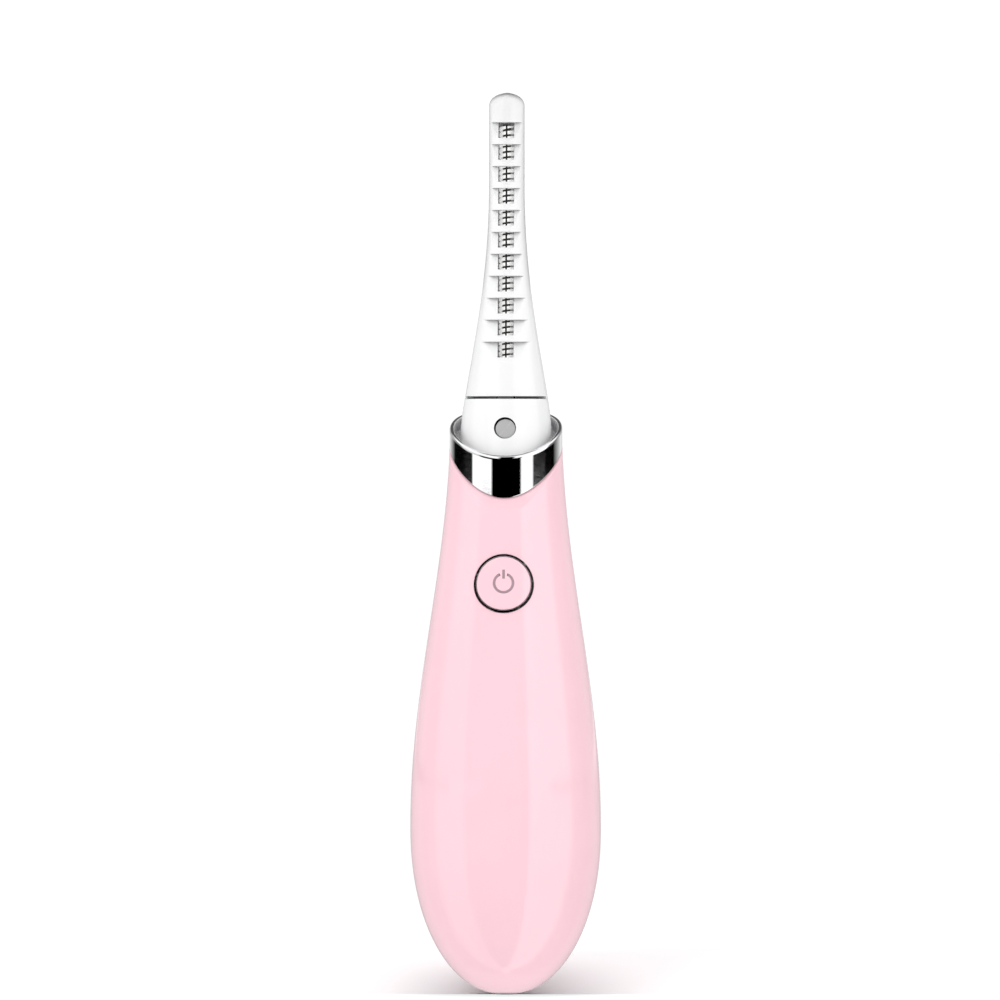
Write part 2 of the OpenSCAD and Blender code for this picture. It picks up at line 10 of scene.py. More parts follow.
import bmesh
import bpy
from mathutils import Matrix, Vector


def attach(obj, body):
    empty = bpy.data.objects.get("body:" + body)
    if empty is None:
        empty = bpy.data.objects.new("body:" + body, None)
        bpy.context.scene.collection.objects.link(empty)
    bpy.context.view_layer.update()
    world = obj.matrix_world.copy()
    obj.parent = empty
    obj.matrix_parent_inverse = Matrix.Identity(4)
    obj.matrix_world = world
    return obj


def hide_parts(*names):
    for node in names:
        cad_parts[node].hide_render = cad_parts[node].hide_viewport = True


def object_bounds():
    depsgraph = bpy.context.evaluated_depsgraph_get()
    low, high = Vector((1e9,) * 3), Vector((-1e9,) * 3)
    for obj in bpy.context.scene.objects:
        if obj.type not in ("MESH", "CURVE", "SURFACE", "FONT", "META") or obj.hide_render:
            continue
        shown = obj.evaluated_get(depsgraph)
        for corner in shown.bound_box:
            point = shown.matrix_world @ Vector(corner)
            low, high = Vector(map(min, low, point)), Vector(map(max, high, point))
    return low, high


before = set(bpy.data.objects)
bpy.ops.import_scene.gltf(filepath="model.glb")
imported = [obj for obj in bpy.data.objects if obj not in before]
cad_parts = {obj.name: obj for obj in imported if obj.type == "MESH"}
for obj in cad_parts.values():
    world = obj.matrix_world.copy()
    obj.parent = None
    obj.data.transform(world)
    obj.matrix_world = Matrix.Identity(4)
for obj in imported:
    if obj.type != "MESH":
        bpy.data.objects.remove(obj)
cad_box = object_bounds()

MM = 0.001
TURN = 2 * math.pi
QUARTER = math.pi / 2

# ------------ outlines

BELLY_R, BELLY_Z, NECK_R, BUTT_POWER = 14.3, 25.0, 8.4, 2.1
BULGE, TAPER_LEN, LEAN_LEN = 2.2, 62.0, 78.0
SHELL_WALL, SEAM_GAP, FLAT_Z, SLANT_FROM = 1.6, 0.08, 0.12, 60.0

COLLAR_R, COLLAR_BORE_R, COLLAR_Z = 8.45, 7.75, 82.3
EDGE_Y, EDGE_R = 13.6, 27.0
EDGE_Z = COLLAR_Z - math.sqrt(EDGE_R**2 - EDGE_Y**2)
RIM_Y, RIM_R = 19.1, 48.2
RIM_Z = COLLAR_Z + 3 - math.sqrt(RIM_R**2 - RIM_Y**2)
COLLAR_FLOOR = 0.8
SLEEVE_R, SLEEVE_BORE_R, SLEEVE_Z = 6.7, 5.6, 70.0
STEM_R, STEM_BORE_R, STEM_Z = 5.5, 4.2, 68.4
CLIP_Z, CLIP_H = 69.0, 0.6

TIP_Z, HEAD_BASE_W, HEAD_TIP_W, COMB_LEAN = 135.3, 6.9, 2.65, math.radians(6.84)
HEAD_Z, HEAD_TAPER, HEAD_WALL, COMB_WALL, COMB_SPLIT = 84.0, 38.0, 1.0, 1.5, 3.6
FLARE_Z, FLARE_LEN, FLARE = 99.0, 19.0, 2.04
COMB_WINDOWS, COMB_PITCH, COMB_SEAM_Z = 11, 3.3, 89.4
CHANNEL_TOP, COMB_TOP = TIP_Z - 4, TIP_Z - 4.35
COMB_FOOT = COMB_TOP - COMB_PITCH * COMB_WINDOWS + 0.6
HEATER_SET, HEATER_FOOT = 3.15, COMB_FOOT - 1.2
HEATER_LEN = CHANNEL_TOP - HEATER_FOOT - 0.4

BUTTON_Z, BEZEL_R, CAP_R, CAP_DEPTH = 61.8, 4.5, 4.05, 3.4
BUTTON_PROUD, FLANGE_R = 0.4, 4.9
SYMBOL_R, SYMBOL_LINE = 1.58, 0.34

LENS_Z, LENS_R, LENS_LEAN = 85.05, 1.5, math.radians(15)

SOCKET_W, SOCKET_T = 8.94, 3.26


def clamp(v, lo=0.0, hi=1.0):
    return max(lo, min(hi, v))


def ease(t):
    return (1 - math.cos(math.pi * clamp(t))) / 2


def mix(a, b, t):
    return a + (b - a) * t


def signed_pow(v, p):
    return math.copysign(abs(v) ** p, v)


def handle_r(z, inset=0.0):
    if z < BELLY_Z:
        drop = clamp((BELLY_Z - z) / (BELLY_Z - inset))
        return (BELLY_R - inset) * (1 - drop**BUTT_POWER) ** (1 / BUTT_POWER)
    return BELLY_R - (BELLY_R - NECK_R) * ease((z - BELLY_Z) / TAPER_LEN) - inset


def handle_y(z):
    return -BULGE * math.sin(math.pi * clamp(z / LEAN_LEN))


def handle_front(z):
    return handle_y(z) - handle_r(z)


def edge_height(y, lift):
    """Height of the collar's lower edge at depth y, raised by lift."""
    return EDGE_Z + math.sqrt(max((EDGE_R + lift) ** 2 - (y - EDGE_Y) ** 2, 0))


def rim_height(y):
    return RIM_Z + math.sqrt(RIM_R**2 - (y - RIM_Y) ** 2)


def head_w(z):
    t = clamp((z - HEAD_Z) / HEAD_TAPER) ** 0.7
    return HEAD_BASE_W - (HEAD_BASE_W - HEAD_TIP_W) * ease(t)


def face_y(z):
    return 1.5 - math.tan(COMB_LEAN) * (TIP_Z - 2.3 - z)


def head_front(z):
    return face_y(z) - FLARE * (max(FLARE_Z - z, 0) / FLARE_LEN) ** 2


def head_back(z):
    return 8.3 - (z - TIP_Z + 27.3) ** 2 / 580


def head_power(z):
    return 2.1 + 0.5 * clamp((z - HEAD_Z) / 16)


def leaning(y0, z0, lean):
    """Frame that lies on a leaning front surface: x across, y up, z out."""
    c, s = math.cos(lean), math.sin(lean)
    return lambda p: (p[0], y0 + p[1] * s - p[2] * c, z0 + p[1] * c + p[2] * s)


BUTTON_LEAN = math.atan((handle_front(BUTTON_Z + 1) - handle_front(BUTTON_Z - 1)) / 2)
at_button = leaning(handle_front(BUTTON_Z), BUTTON_Z, BUTTON_LEAN)
at_lens = leaning(head_front(LENS_Z), LENS_Z, LENS_LEAN)


def off_axis(point, frame_of):
    """Distance of a point from the axis of a frame such as at_button."""
    start = Vector(frame_of((0, 0, 0)))
    along = Vector(frame_of((0, 0, 1))) - start
    return (point - start).cross(along).length


# ------------ mesh builders

WELD, SLIVER = 0.002 * MM, 0.001 * MM


def shade_smooth(mesh, sharp):
    """Smooth faces, with crisp edges where they meet at over sharp degrees."""
    for face in mesh.polygons:
        face.use_smooth = True
    mesh.set_sharp_from_angle(angle=math.radians(sharp))


def make_object(name, verts, faces, body="curler", sharp=35):
    """Piece from points in mm: welded, faces turned out, put on its body."""
    mesh = bpy.data.meshes.new(name)
    mesh.from_pydata([(x * MM, y * MM, z * MM) for x, y, z in verts], [], faces)
    bm = bmesh.new()
    bm.from_mesh(mesh)
    bmesh.ops.remove_doubles(bm, verts=bm.verts, dist=WELD)
    bmesh.ops.dissolve_degenerate(bm, dist=SLIVER, edges=bm.edges)
    loose = [v for v in bm.verts if not v.link_faces]
    bmesh.ops.delete(bm, geom=loose, context="VERTS")
    bmesh.ops.recalc_face_normals(bm, faces=bm.faces)
    if bm.calc_volume(signed=True) < 0:
        bmesh.ops.reverse_faces(bm, faces=bm.faces)
    bm.to_mesh(mesh)
    bm.free()
    shade_smooth(mesh, sharp)
    obj = bpy.data.objects.new(name, mesh)
    bpy.context.scene.collection.objects.link(obj)
    if body:
        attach(obj, body)
    return obj


def skin_solid(name, outer, inner, keep=None, wrap=False, ridge=False, sharp=35):
    """Closed solid between an outer and an inner grid of points. keep(i, j)
    says which quads are there, and every border between the two is walled,
    apart from the last row where that is a ridge."""
    rows, cols = len(outer), len(outer[0])
    span = cols if wrap else cols - 1
    verts = [p for row in outer for p in row] + [p for row in inner for p in row]
    base = rows * cols
    faces = []

    def kept(i, j):
        if ridge and i == rows - 1:
            return True
        if wrap:
            j %= cols
        if not (0 <= i < rows - 1 and 0 <= j < span):
            return False
        return keep is None or keep(i, j)

    for i in range(rows - 1):
        for j in range(span):
            if not kept(i, j):
                continue
            k = (j + 1) % cols
            a, b, c, d = i * cols + j, i * cols + k, (i + 1) * cols + k, (i + 1) * cols + j
            faces.append((a, b, c, d))
            faces.append((base + d, base + c, base + b, base + a))
            if not kept(i - 1, j):
                faces.append((b, a, base + a, base + b))
            if not kept(i + 1, j):
                faces.append((d, c, base + c, base + d))
            if not kept(i, j - 1):
                faces.append((a, d, base + d, base + a))
            if not kept(i, j + 1):
                faces.append((c, b, base + b, base + c))
    return make_object(name, verts, faces, sharp=sharp)


def turned(name, profile, steps, place=None, closed=False, body="curler", sharp=35):
    """Solid of turning. profile(angle) gives points of (radius, height): a
    closed loop for a ring, or else from the axis at one end to the other."""
    verts, faces = [], []
    for i in range(steps):
        a = TURN * i / steps
        for r, z in profile(a):
            p = (r * math.cos(a), r * math.sin(a), z)
            verts.append(place(p) if place else p)
    n = len(verts) // steps
    for i in range(steps):
        k = (i + 1) % steps
        for j in range(n if closed else n - 1):
            m = (j + 1) % n
            faces.append((i * n + j, k * n + j, k * n + m, i * n + m))
    return make_object(name, verts, faces, body, sharp)


def drum(name, rings, place, steps=128):
    """Cutter of turning through (radius, height) rings, capped at both ends."""
    profile = [(0, rings[0][1]), *rings, (0, rings[-1][1])]
    return turned(name, lambda a: profile, steps, place, body=None)


def stadium_cutter(name, w, t, z0, z1, steps=24):
    """Upright bar of width w and thickness t with round ends."""
    outline = []
    for side in (1, -1):
        for k in range(steps + 1):
            a = math.pi * (k / steps - 0.5)
            x = side * ((w - t) / 2 + t / 2 * math.cos(a))
            outline.append((x, side * t / 2 * math.sin(a)))
    n = len(outline)
    verts = [(x, y, z0) for x, y in outline] + [(x, y, z1) for x, y in outline]
    faces = [(k, (k + 1) % n, n + (k + 1) % n, n + k) for k in range(n)]
    faces += [tuple(reversed(range(n))), tuple(range(n, 2 * n))]
    return make_object(name, verts, faces, body=None)


def cut(obj, cutter, sharp=35):
    """Takes the cutter's space out of the piece, and throws the cutter away."""
    mod = obj.modifiers.new("cut", "BOOLEAN")
    mod.operation = "DIFFERENCE"
    mod.solver = "EXACT"
    mod.object = cutter
    bpy.context.view_layer.update()
    depsgraph = bpy.context.evaluated_depsgraph_get()
    made = bpy.data.meshes.new_from_object(obj.evaluated_get(depsgraph))
    obj.modifiers.remove(mod)
    old = obj.data
    made.name = old.name
    obj.data = made
    bpy.data.meshes.remove(old)
    bpy.data.objects.remove(cutter)
    shade_smooth(made, sharp)


def join(obj, other, sharp=40):
    """Adds another closed shell to the piece's mesh."""
    bm = bmesh.new()
    bm.from_mesh(obj.data)
    bm.from_mesh(other.data)
    bm.to_mesh(obj.data)
    bm.free()
    obj.data.set_sharp_from_angle(angle=math.radians(sharp))
    bpy.data.objects.remove(other)
    return obj


# ------------ materials


def fill(tree, node, inputs):
    """Links an input to a socket, or sets it to a value, for each name."""
    for key, value in inputs.items():
        if isinstance(value, bpy.types.NodeSocket):
            tree.links.new(value, node.inputs[key])
        else:
            node.inputs[key].default_value = value
    return node


def add(tree, kind, inputs, **settings):
    node = tree.nodes.new("ShaderNode" + kind)
    for key, value in settings.items():
        setattr(node, key, value)
    return fill(tree, node, inputs)


def remap(tree, value, low, high, to_low=0.0, to_high=1.0, **settings):
    """Value that goes from to_low to to_high while the input passes low to high."""
    limits = {"From Min": low, "From Max": high, "To Min": to_low, "To Max": to_high}
    return add(tree, "MapRange", {**limits, "Value": value}, **settings).outputs["Result"]


def blend(tree, factor, a, b):
    """Colour that is a where the factor is 0 and b where it is 1."""
    inputs = {"Factor": factor, "A": a, "B": b}
    return add(tree, "Mix", inputs, data_type="RGBA").outputs["Result"]


def hollow(tree, reach, samples):
    """How open the surroundings are within reach, from 0 to 1."""
    return add(tree, "AmbientOcclusion", {"Distance": reach}, samples=samples).outputs["AO"]


def new_material(name):
    mat = bpy.data.materials.new(name)
    mat.use_nodes = True
    return mat, mat.node_tree


CLOUD_SCALE = 90
COAT_ROUGHNESS = 0.03
EDGE_BAND = (0.56, 0.72)
# painted shade in hollows: the openness over which it fades in
SHADE_BAND = (0.35, 0.95)
# painted shade in crevices: the openness over which it fades in, and its near-black tone
CREVICE_SHADE_BAND = (0.1, 0.5)
CREVICE_SHADE_TONE = (0.01, 0.01, 0.01, 1)
# tone of a painted dark reflection along the middle of a piece
PAINTED_REFLECTION_TONE = (0.004, 0.004, 0.004, 1)


def surface(name, colour, rough, metallic=0.0, vary=0.03, rough_vary=0.05, grain=2500.0,
            bump=0.0, stretch=(1, 1, 1), wear=None, crevice_shade=0.0, crevice_shade_reach=0.0003,
            shade=0.0, shade_reach=0.003, painted_reflection_stripe=0.0, painted_glow=0.0, specular=0.5, coat=0.0):
    """Procedural finish: cloudy colour, and fine grain in roughness and
    relief. It may have lighter wear along edges, a stripe of painted dark
    reflection along its middle, of half width given by its stripe setting,
    painted shade in hollows, painted shade that blackens crevices, and painted light."""
    mat, tree = new_material(name)
    bsdf = tree.nodes["Principled BSDF"]
    place = add(tree, "TexCoord", {}).outputs["Object"]
    stretched = add(tree, "Mapping", {"Scale": stretch, "Vector": place}).outputs["Vector"]
    cloud = add(tree, "TexNoise", {"Scale": CLOUD_SCALE, "Detail": 3, "Vector": place})
    fine = add(tree, "TexNoise", {"Scale": grain, "Detail": 4, "Vector": stretched}).outputs["Fac"]

    ramp = add(tree, "ValToRGB", {"Fac": cloud.outputs["Fac"]})
    darker, lighter = ramp.color_ramp.elements[0], ramp.color_ramp.elements[1]
    darker.position, lighter.position = 0.3, 0.7
    darker.color = [c * (1 - vary) for c in colour] + [1]
    lighter.color = [min(c * (1 + vary), 1) for c in colour] + [1]
    out = ramp.outputs["Color"]

    if wear:
        edge = add(tree, "NewGeometry", {}).outputs["Pointiness"]
        patchy = {0: remap(tree, edge, *EDGE_BAND), 1: fine}
        worn = add(tree, "Math", patchy, operation="MULTIPLY").outputs["Value"]
        out = blend(tree, worn, out, (*wear, 1))
    # painted reflection: a dark line down the middle, standing in for the dark card the wire would
    # mirror
    if painted_reflection_stripe:
        across = add(tree, "SeparateXYZ", {"Vector": place}).outputs["X"]
        aside = add(tree, "Math", {0: across}, operation="ABSOLUTE").outputs["Value"]
        out = blend(tree, remap(tree, aside, painted_reflection_stripe * 0.8, painted_reflection_stripe * 1.2), PAINTED_REFLECTION_TONE, out)
    # painted shade: hollows are toned down by how closed in they are
    if shade:
        openness = remap(tree, hollow(tree, shade_reach, 8), *SHADE_BAND)
        out = blend(tree, openness, [c * (1 - shade) for c in colour] + [1], out)
    # painted shade: crevices and gaps are blackened where little of the surroundings is open
    if crevice_shade:
        openness = remap(tree, hollow(tree, crevice_shade_reach, 6), *CREVICE_SHADE_BAND, 1 - crevice_shade)
        out = blend(tree, openness, CREVICE_SHADE_TONE, out)

    rough_range = (max(rough - rough_vary, 0.01), rough + rough_vary)
    fill(tree, bsdf, {
        "Base Color": out,
        "Roughness": remap(tree, fine, 0, 1, *rough_range),
        "Metallic": metallic,
        "IOR": 1.5,
        "Specular IOR Level": specular,
        "Coat Weight": coat,
        "Coat Roughness": COAT_ROUGHNESS,
    })
    # painted light: the surface gives off light of its own colour, though it is no lamp
    if painted_glow:
        fill(tree, bsdf, {"Emission Color": out, "Emission Strength": painted_glow})
    if bump:
        relief = add(tree, "Bump", {"Strength": 1.0, "Distance": bump * MM, "Height": fine})
        fill(tree, bsdf, {"Normal": relief.outputs["Normal"]})
    return mat


PINK, PINK_WEAR = (0.89, 0.588, 0.652), (0.89, 0.67, 0.72)
WHITE_WEAR = (0.85, 0.85, 0.84)
ALONG_Z, ALONG_Z_FINE = (1, 1, 8), (1, 1, 10)
# the crevice and shade settings paint shade into crevices and hollows; the wire's glow is painted
# light and its stripe a painted dark reflection
MATERIALS = {
    "pink": surface("pink_plastic", PINK, 0.1, vary=0.012, rough_vary=0.02, grain=1400,
        bump=0.0006, wear=PINK_WEAR, crevice_shade=0.9, crevice_shade_reach=0.0005, coat=0.25),
    "button": surface("pink_cap", PINK, 0.14, vary=0.012, rough_vary=0.03, grain=2600,
        bump=0.001, wear=PINK_WEAR, crevice_shade=0.9, crevice_shade_reach=0.0004, coat=0.2),
    "white": surface("white_plastic", (0.82, 0.82, 0.825), 0.12, vary=0.01, rough_vary=0.03,
        grain=1800, bump=0.0008, wear=WHITE_WEAR, crevice_shade=0.9,
        shade=0.12),
    "comb": surface("white_comb", (0.81, 0.81, 0.815), 0.18, vary=0.012, rough_vary=0.05,
        grain=2400, bump=0.001, wear=WHITE_WEAR, crevice_shade=0.4,
        crevice_shade_reach=0.0002, shade=0.28, shade_reach=0.002),
    "chrome": surface("chrome_plate", (0.86, 0.86, 0.87), 0.035, metallic=1, vary=0.02,
        rough_vary=0.02, grain=900, stretch=ALONG_Z, bump=0.0002,
        wear=(0.93, 0.93, 0.93), crevice_shade=1.0),
    "ring": surface("ring_plate", (0.025, 0.023, 0.025), 0.12, metallic=1, vary=0.1,
        rough_vary=0.05, grain=3000, bump=0.0005, wear=(0.7, 0.68, 0.68)),
    "lens": surface("diffusing_lens", (0.42, 0.42, 0.42), 0.22, vary=0.03, rough_vary=0.06,
        grain=4000, bump=0.001, wear=(0.5, 0.5, 0.5)),
    "symbol": surface("symbol_ink", (0.37, 0.25, 0.29), 0.4, vary=0.12, rough_vary=0.1,
        grain=6000, bump=0.002),
    "wire": surface("resistance_wire", (0.95, 0.95, 0.94), 0.3, metallic=0.3, vary=0.04,
        rough_vary=0.06, grain=3500, bump=0.0005, painted_reflection_stripe=0.00013, painted_glow=0.4),
    "satin": surface("satin_plate", (0.66, 0.66, 0.67), 0.5, metallic=0.5, vary=0.03,
        rough_vary=0.05, grain=1800, bump=0.0005),
    "rod": surface("ceramic_rod", (0.03, 0.028, 0.026), 0.7, vary=0.2, rough_vary=0.1,
        grain=5000, bump=0.01),
    "glass": surface("sensor_bead", (0.35, 0.16, 0.06), 0.1, vary=0.1, grain=3000, coat=0.5),
    "red": surface("silicone_red", (0.5, 0.03, 0.025), 0.45, vary=0.08, rough_vary=0.1,
        grain=3000, bump=0.004),
    # painted shadow: a near-black finish for the faces of gaps and holes
    "shadow": surface("edge_shadow", (0.01, 0.01, 0.01), 0.7, vary=0.1, rough_vary=0.1,
        specular=0.1),
    "dark": surface("silicone_dark", (0.03, 0.03, 0.032), 0.5, vary=0.1, rough_vary=0.1,
        grain=3000, bump=0.004),
    "led": surface("clear_epoxy", (0.85, 0.8, 0.55), 0.15, vary=0.05, grain=2000, coat=0.3),
    "spring": surface("spring_steel", (0.5, 0.5, 0.52), 0.3, metallic=1, vary=0.1,
        rough_vary=0.1, grain=1500, stretch=ALONG_Z_FINE, bump=0.001),
    "plunger": surface("acetal_black", (0.02, 0.02, 0.022), 0.4, vary=0.1, grain=2500,
        bump=0.002),
    "can": surface("switch_can", (0.6, 0.6, 0.62), 0.28, metallic=1, vary=0.08,
        rough_vary=0.08, grain=1800, stretch=(12, 1, 1), bump=0.001),
    "board": surface("circuit_board", (0.015, 0.14, 0.06), 0.35, vary=0.25, rough_vary=0.1,
        grain=1200, bump=0.004, coat=0.3),
    "chip": surface("chip_epoxy", (0.018, 0.018, 0.02), 0.55, vary=0.15, rough_vary=0.1,
        grain=7000, bump=0.004),
    "ferrite": surface("ferrite", (0.06, 0.06, 0.065), 0.6, vary=0.2, rough_vary=0.1,
        grain=5000, bump=0.006),
    "parts": surface("ceramic_parts", (0.5, 0.38, 0.2), 0.4, vary=0.2, rough_vary=0.1,
        grain=2500, bump=0.003),
    "screw": surface("zinc_screw", (0.62, 0.6, 0.56), 0.3, metallic=1, vary=0.12,
        rough_vary=0.12, grain=2000, bump=0.002, wear=(0.8, 0.79, 0.77)),
    "cell": surface("cell_can", (0.62, 0.63, 0.66), 0.25, metallic=1, vary=0.05,
        rough_vary=0.08, grain=900, stretch=(1, 1, 14), bump=0.001),
    "wrap": surface("shrink_wrap", (0.04, 0.13, 0.4), 0.3, vary=0.08, rough_vary=0.08,
        grain=700, bump=0.01, coat=0.4),
    "nickel": surface("nickel_strip", (0.66, 0.64, 0.58), 0.32, metallic=1, vary=0.08,
        rough_vary=0.1, grain=1500, stretch=(1, 9, 1), bump=0.001),
    "cradle": surface("natural_abs", (0.72, 0.71, 0.66), 0.5, vary=0.05, rough_vary=0.1,
        grain=2200, bump=0.004),
    "shield": surface("socket_shield", (0.68, 0.68, 0.7), 0.22, metallic=1, vary=0.06,
        rough_vary=0.1, grain=1600, stretch=ALONG_Z_FINE, bump=0.001,
        wear=(0.85, 0.85, 0.85)),
    "tongue": surface("socket_tongue", (0.015, 0.015, 0.016), 0.45, vary=0.2, rough_vary=0.1,
        grain=3500, bump=0.002),
}


def paint(obj, key):
    obj.data.materials.clear()
    obj.data.materials.append(MATERIALS[key])
    return obj


def tint(obj, key, test):
    """Gives a second finish to the faces whose centre and normal pass test."""
    obj.data.materials.append(MATERIALS[key])
    last = len(obj.data.materials) - 1
    for face in obj.data.polygons:
        if test(face.center / MM, face.normal):
            face.material_index = last


NODE_FINISH = {
    "heater_core": "rod", "thermistor": "glass", "heater_leads": "dark",
    "indicator_led": "led", "led_leads": "dark", "head_retaining_clip": "spring",
    "power_symbol": "symbol", "switch_plunger": "plunger", "tact_switch": "can",
    "main_board": "board", "controller_chip": "chip", "boost_inductor": "ferrite",
    "board_components": "parts", "board_screws": "screw", "battery_cell": "cell",
    "battery_wrap": "wrap", "battery_tab_top": "nickel", "battery_tab_bottom": "nickel",
    "battery_leads": "red", "battery_cradle": "cradle", "charging_socket": "shield",
    "socket_tongue": "tongue", "charging_board": "board", "charging_leads": "red",
}
for node_name, finish in NODE_FINISH.items():
    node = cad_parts[node_name]
    for material_slot in node.material_slots:
        material_slot.material = MATERIALS[finish]
    if not node.material_slots:
        node.data.materials.append(MATERIALS[finish])


# ------------ handle shells

SEAM_ROLL = 0.12  # rounding of the shells' edges
ROLL_STEPS = [0, 0.02, 0.05, 0.085, 0.12]
SKIN_EASE = 0.014  # how far the skin lies inside the CAD's
BUTT_LIFT = 0.022  # and how far its lowest row starts above it
SHADOW_GAP = 0.22  # open line under the collar
BUTT_ROWS, SIDE_ROWS, SHELL_COLS = 34, 96, 84
PORT_CLEARANCE = 0.3


def roll(s):
    """Fall of a rounded edge at distance s from the edge."""
    rest = SEAM_ROLL - min(s, SEAM_ROLL)
    return SEAM_ROLL - math.sqrt(max(SEAM_ROLL**2 - rest**2, 0))


def shell_point(z, inset, a, fall):
    """Point of the handle's skin at angle a. Rows above SLANT_FROM bend
    until the last one follows the collar's edge."""
    slant = clamp((z - SLANT_FROM) / (COLLAR_Z - SLANT_FROM)) ** 2
    now = z
    for _ in range(8):
        r = handle_r(now, inset) - fall - SKIN_EASE
        y = handle_y(now) + r * math.sin(a)
        now = z + (edge_height(y, -SHADOW_GAP) - COLLAR_Z) * slant
    return (r * math.cos(a), y, now)


def shell_grid(side, inset):
    butt = inset + FLAT_Z + BUTT_LIFT
    rise = BELLY_Z - inset - FLAT_Z
    heights = [(butt + rise * (1 - math.cos(QUARTER * i / BUTT_ROWS)), 0) for i in range(BUTT_ROWS)]
    neck = COLLAR_Z - SEAM_ROLL
    heights += [(mix(BELLY_Z, neck, i / SIDE_ROWS), 0) for i in range(SIDE_ROWS)]
    heights += [(neck + s, roll(SEAM_ROLL - s)) for s in ROLL_STEPS]
    grid = []
    for z, top_fall in heights:
        r = handle_r(z, inset)
        lean = math.asin(clamp((side * SEAM_GAP / 2 - handle_y(z)) / r, -1, 1))
        start = lean if side > 0 else math.pi - lean
        sweep = math.pi - 2 * lean if side > 0 else math.pi + 2 * lean
        near = [s / r for s in ROLL_STEPS]
        steps = [(a, roll(s)) for a, s in zip(near, ROLL_STEPS)]
        shares = [i / SHELL_COLS for i in range(1, SHELL_COLS)]
        middle = [(mix(near[-1], sweep - near[-1], t), 0) for t in shares]
        steps += middle + [(sweep - a, f) for a, f in reversed(steps)]
        if inset:
            steps = [(a, 0) for a, _ in steps]
            top_fall = 0
        grid.append([shell_point(z, inset, start + a, max(f, top_fall)) for a, f in steps])
    return grid


for side, shell_name, node_name in ((-1, "front_shell_skin", "handle_front_shell"),
                                    (1, "rear_shell_skin", "handle_rear_shell")):
    shell = skin_solid(shell_name, shell_grid(side, 0), shell_grid(side, SHELL_WALL))
    port = (SOCKET_W + PORT_CLEARANCE, SOCKET_T + PORT_CLEARANCE)
    cut(shell, stadium_cutter("port_cutter", *port, -1, 7))
    if side < 0:
        flange_room = FLANGE_R + 0.3
        cut(shell, drum("button_cutter", [(BEZEL_R, -4), (BEZEL_R, 4)], at_button))
        cut(shell, drum("flange_cutter", [(flange_room, -4.3), (flange_room, -2.7)], at_button))
    paint(shell, "pink")
    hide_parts(node_name)


# ------------ collar

RIM_DROP, RIM_WIDTH = 0.42, 0.34  # rounding of the rim, down and across
ARC_STEPS = 10


def collar_profile(a):
    s = math.sin(a)

    def low(r):
        return edge_height(r * s, 0)

    def high(r):
        return rim_height(r * s)

    def floor(r):
        return edge_height(r * s, COLLAR_FLOOR)

    # outside, up from the lower edge
    foot = low(COLLAR_R)
    top = high(COLLAR_R) - RIM_DROP
    loop = [(COLLAR_R - 0.12, low(COLLAR_R - 0.12)), (COLLAR_R - 0.04, foot + 0.03)]
    loop += [(COLLAR_R, foot + rise) for rise in (0.1, 0.12, 0.15)]
    loop += [(COLLAR_R, mix(foot + 0.15, top - 0.04, k / 11)) for k in range(1, 12)]
    loop += [(COLLAR_R, top - 0.02), (COLLAR_R, top)]
    # over the rim
    arc = [QUARTER * k / ARC_STEPS for k in range(1, ARC_STEPS + 1)]
    for b in arc:
        r = COLLAR_R - RIM_WIDTH * (1 - math.cos(b))
        loop.append((r, high(r) - RIM_DROP * (1 - math.sin(b))))
    for b in arc:
        r = COLLAR_BORE_R + RIM_WIDTH * (1 - math.sin(b))
        loop.append((r, high(r) - RIM_DROP * (1 - math.cos(b))))
    # down the bore, over the floor and round the sleeve
    brink, bottom = high(COLLAR_BORE_R) - RIM_DROP, floor(COLLAR_BORE_R) + 0.15
    loop += [(COLLAR_BORE_R, mix(brink, bottom, k / 8)) for k in range(1, 9)]
    loop.append((COLLAR_BORE_R - 0.05, floor(COLLAR_BORE_R) + 0.04))
    corner = COLLAR_BORE_R - 0.15
    for k in range(7):
        r = mix(corner, SLEEVE_BORE_R, k / 6)
        loop.append((r, floor(r)))
    loop += [(SLEEVE_BORE_R, SLEEVE_Z + 0.1), (SLEEVE_BORE_R + 0.1, SLEEVE_Z),
             (SLEEVE_R - 0.1, SLEEVE_Z), (SLEEVE_R, SLEEVE_Z + 0.1)]
    for k in range(4):
        r = mix(SLEEVE_R, COLLAR_R - 0.1, k / 4)
        loop.append((r, low(r)))
    return loop


collar = paint(turned("collar_band", collar_profile, 240, closed=True, sharp=50), "chrome")
tint(collar, "satin", lambda c, n: math.hypot(c.x, c.y) < COLLAR_BORE_R + 0.08)
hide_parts("collar")


# ------------ head

TOP_Z = cad_box[1].z / MM - 0.02
TIP_START = TOP_Z - 2.1
CROWN_FALL = math.tan(math.radians(5))
CROWN_BACK_Y = 6.5
BASE_GAP = 0.36  # gap between the base and the comb, its faces darkened with painted shadow
PARTING_GAP = 0.05  # between the comb and the housing


def parting_y(z):
    rise = math.tan(COMB_LEAN) * (z - COMB_SEAM_Z)
    return face_y(COMB_SEAM_Z) + COMB_SPLIT + rise


def oval(w, y0, y1, power, angle):
    """Point of the rounded-square outline: -90 degrees is the front."""
    y = (y0 + y1) / 2 + (y1 - y0) / 2 * signed_pow(math.sin(angle), 2 / power)
    return (w * signed_pow(math.cos(angle), 2 / power), y)


def angle_at_y(y, y0, y1, power):
    share = clamp((y - (y0 + y1) / 2) / ((y1 - y0) / 2), -1, 1)
    return math.asin(signed_pow(share, power / 2))


def angle_at_x(x, w, power):
    return -math.acos(clamp(x / w) ** (power / 2))


def spread(stops, counts):
    """Angles that pass through every stop, with counts steps between them."""
    out = [stops[0]]
    for a, b, n in zip(stops, stops[1:], counts):
        out += [mix(a, b, k / n) for k in range(1, n + 1)]
    return out


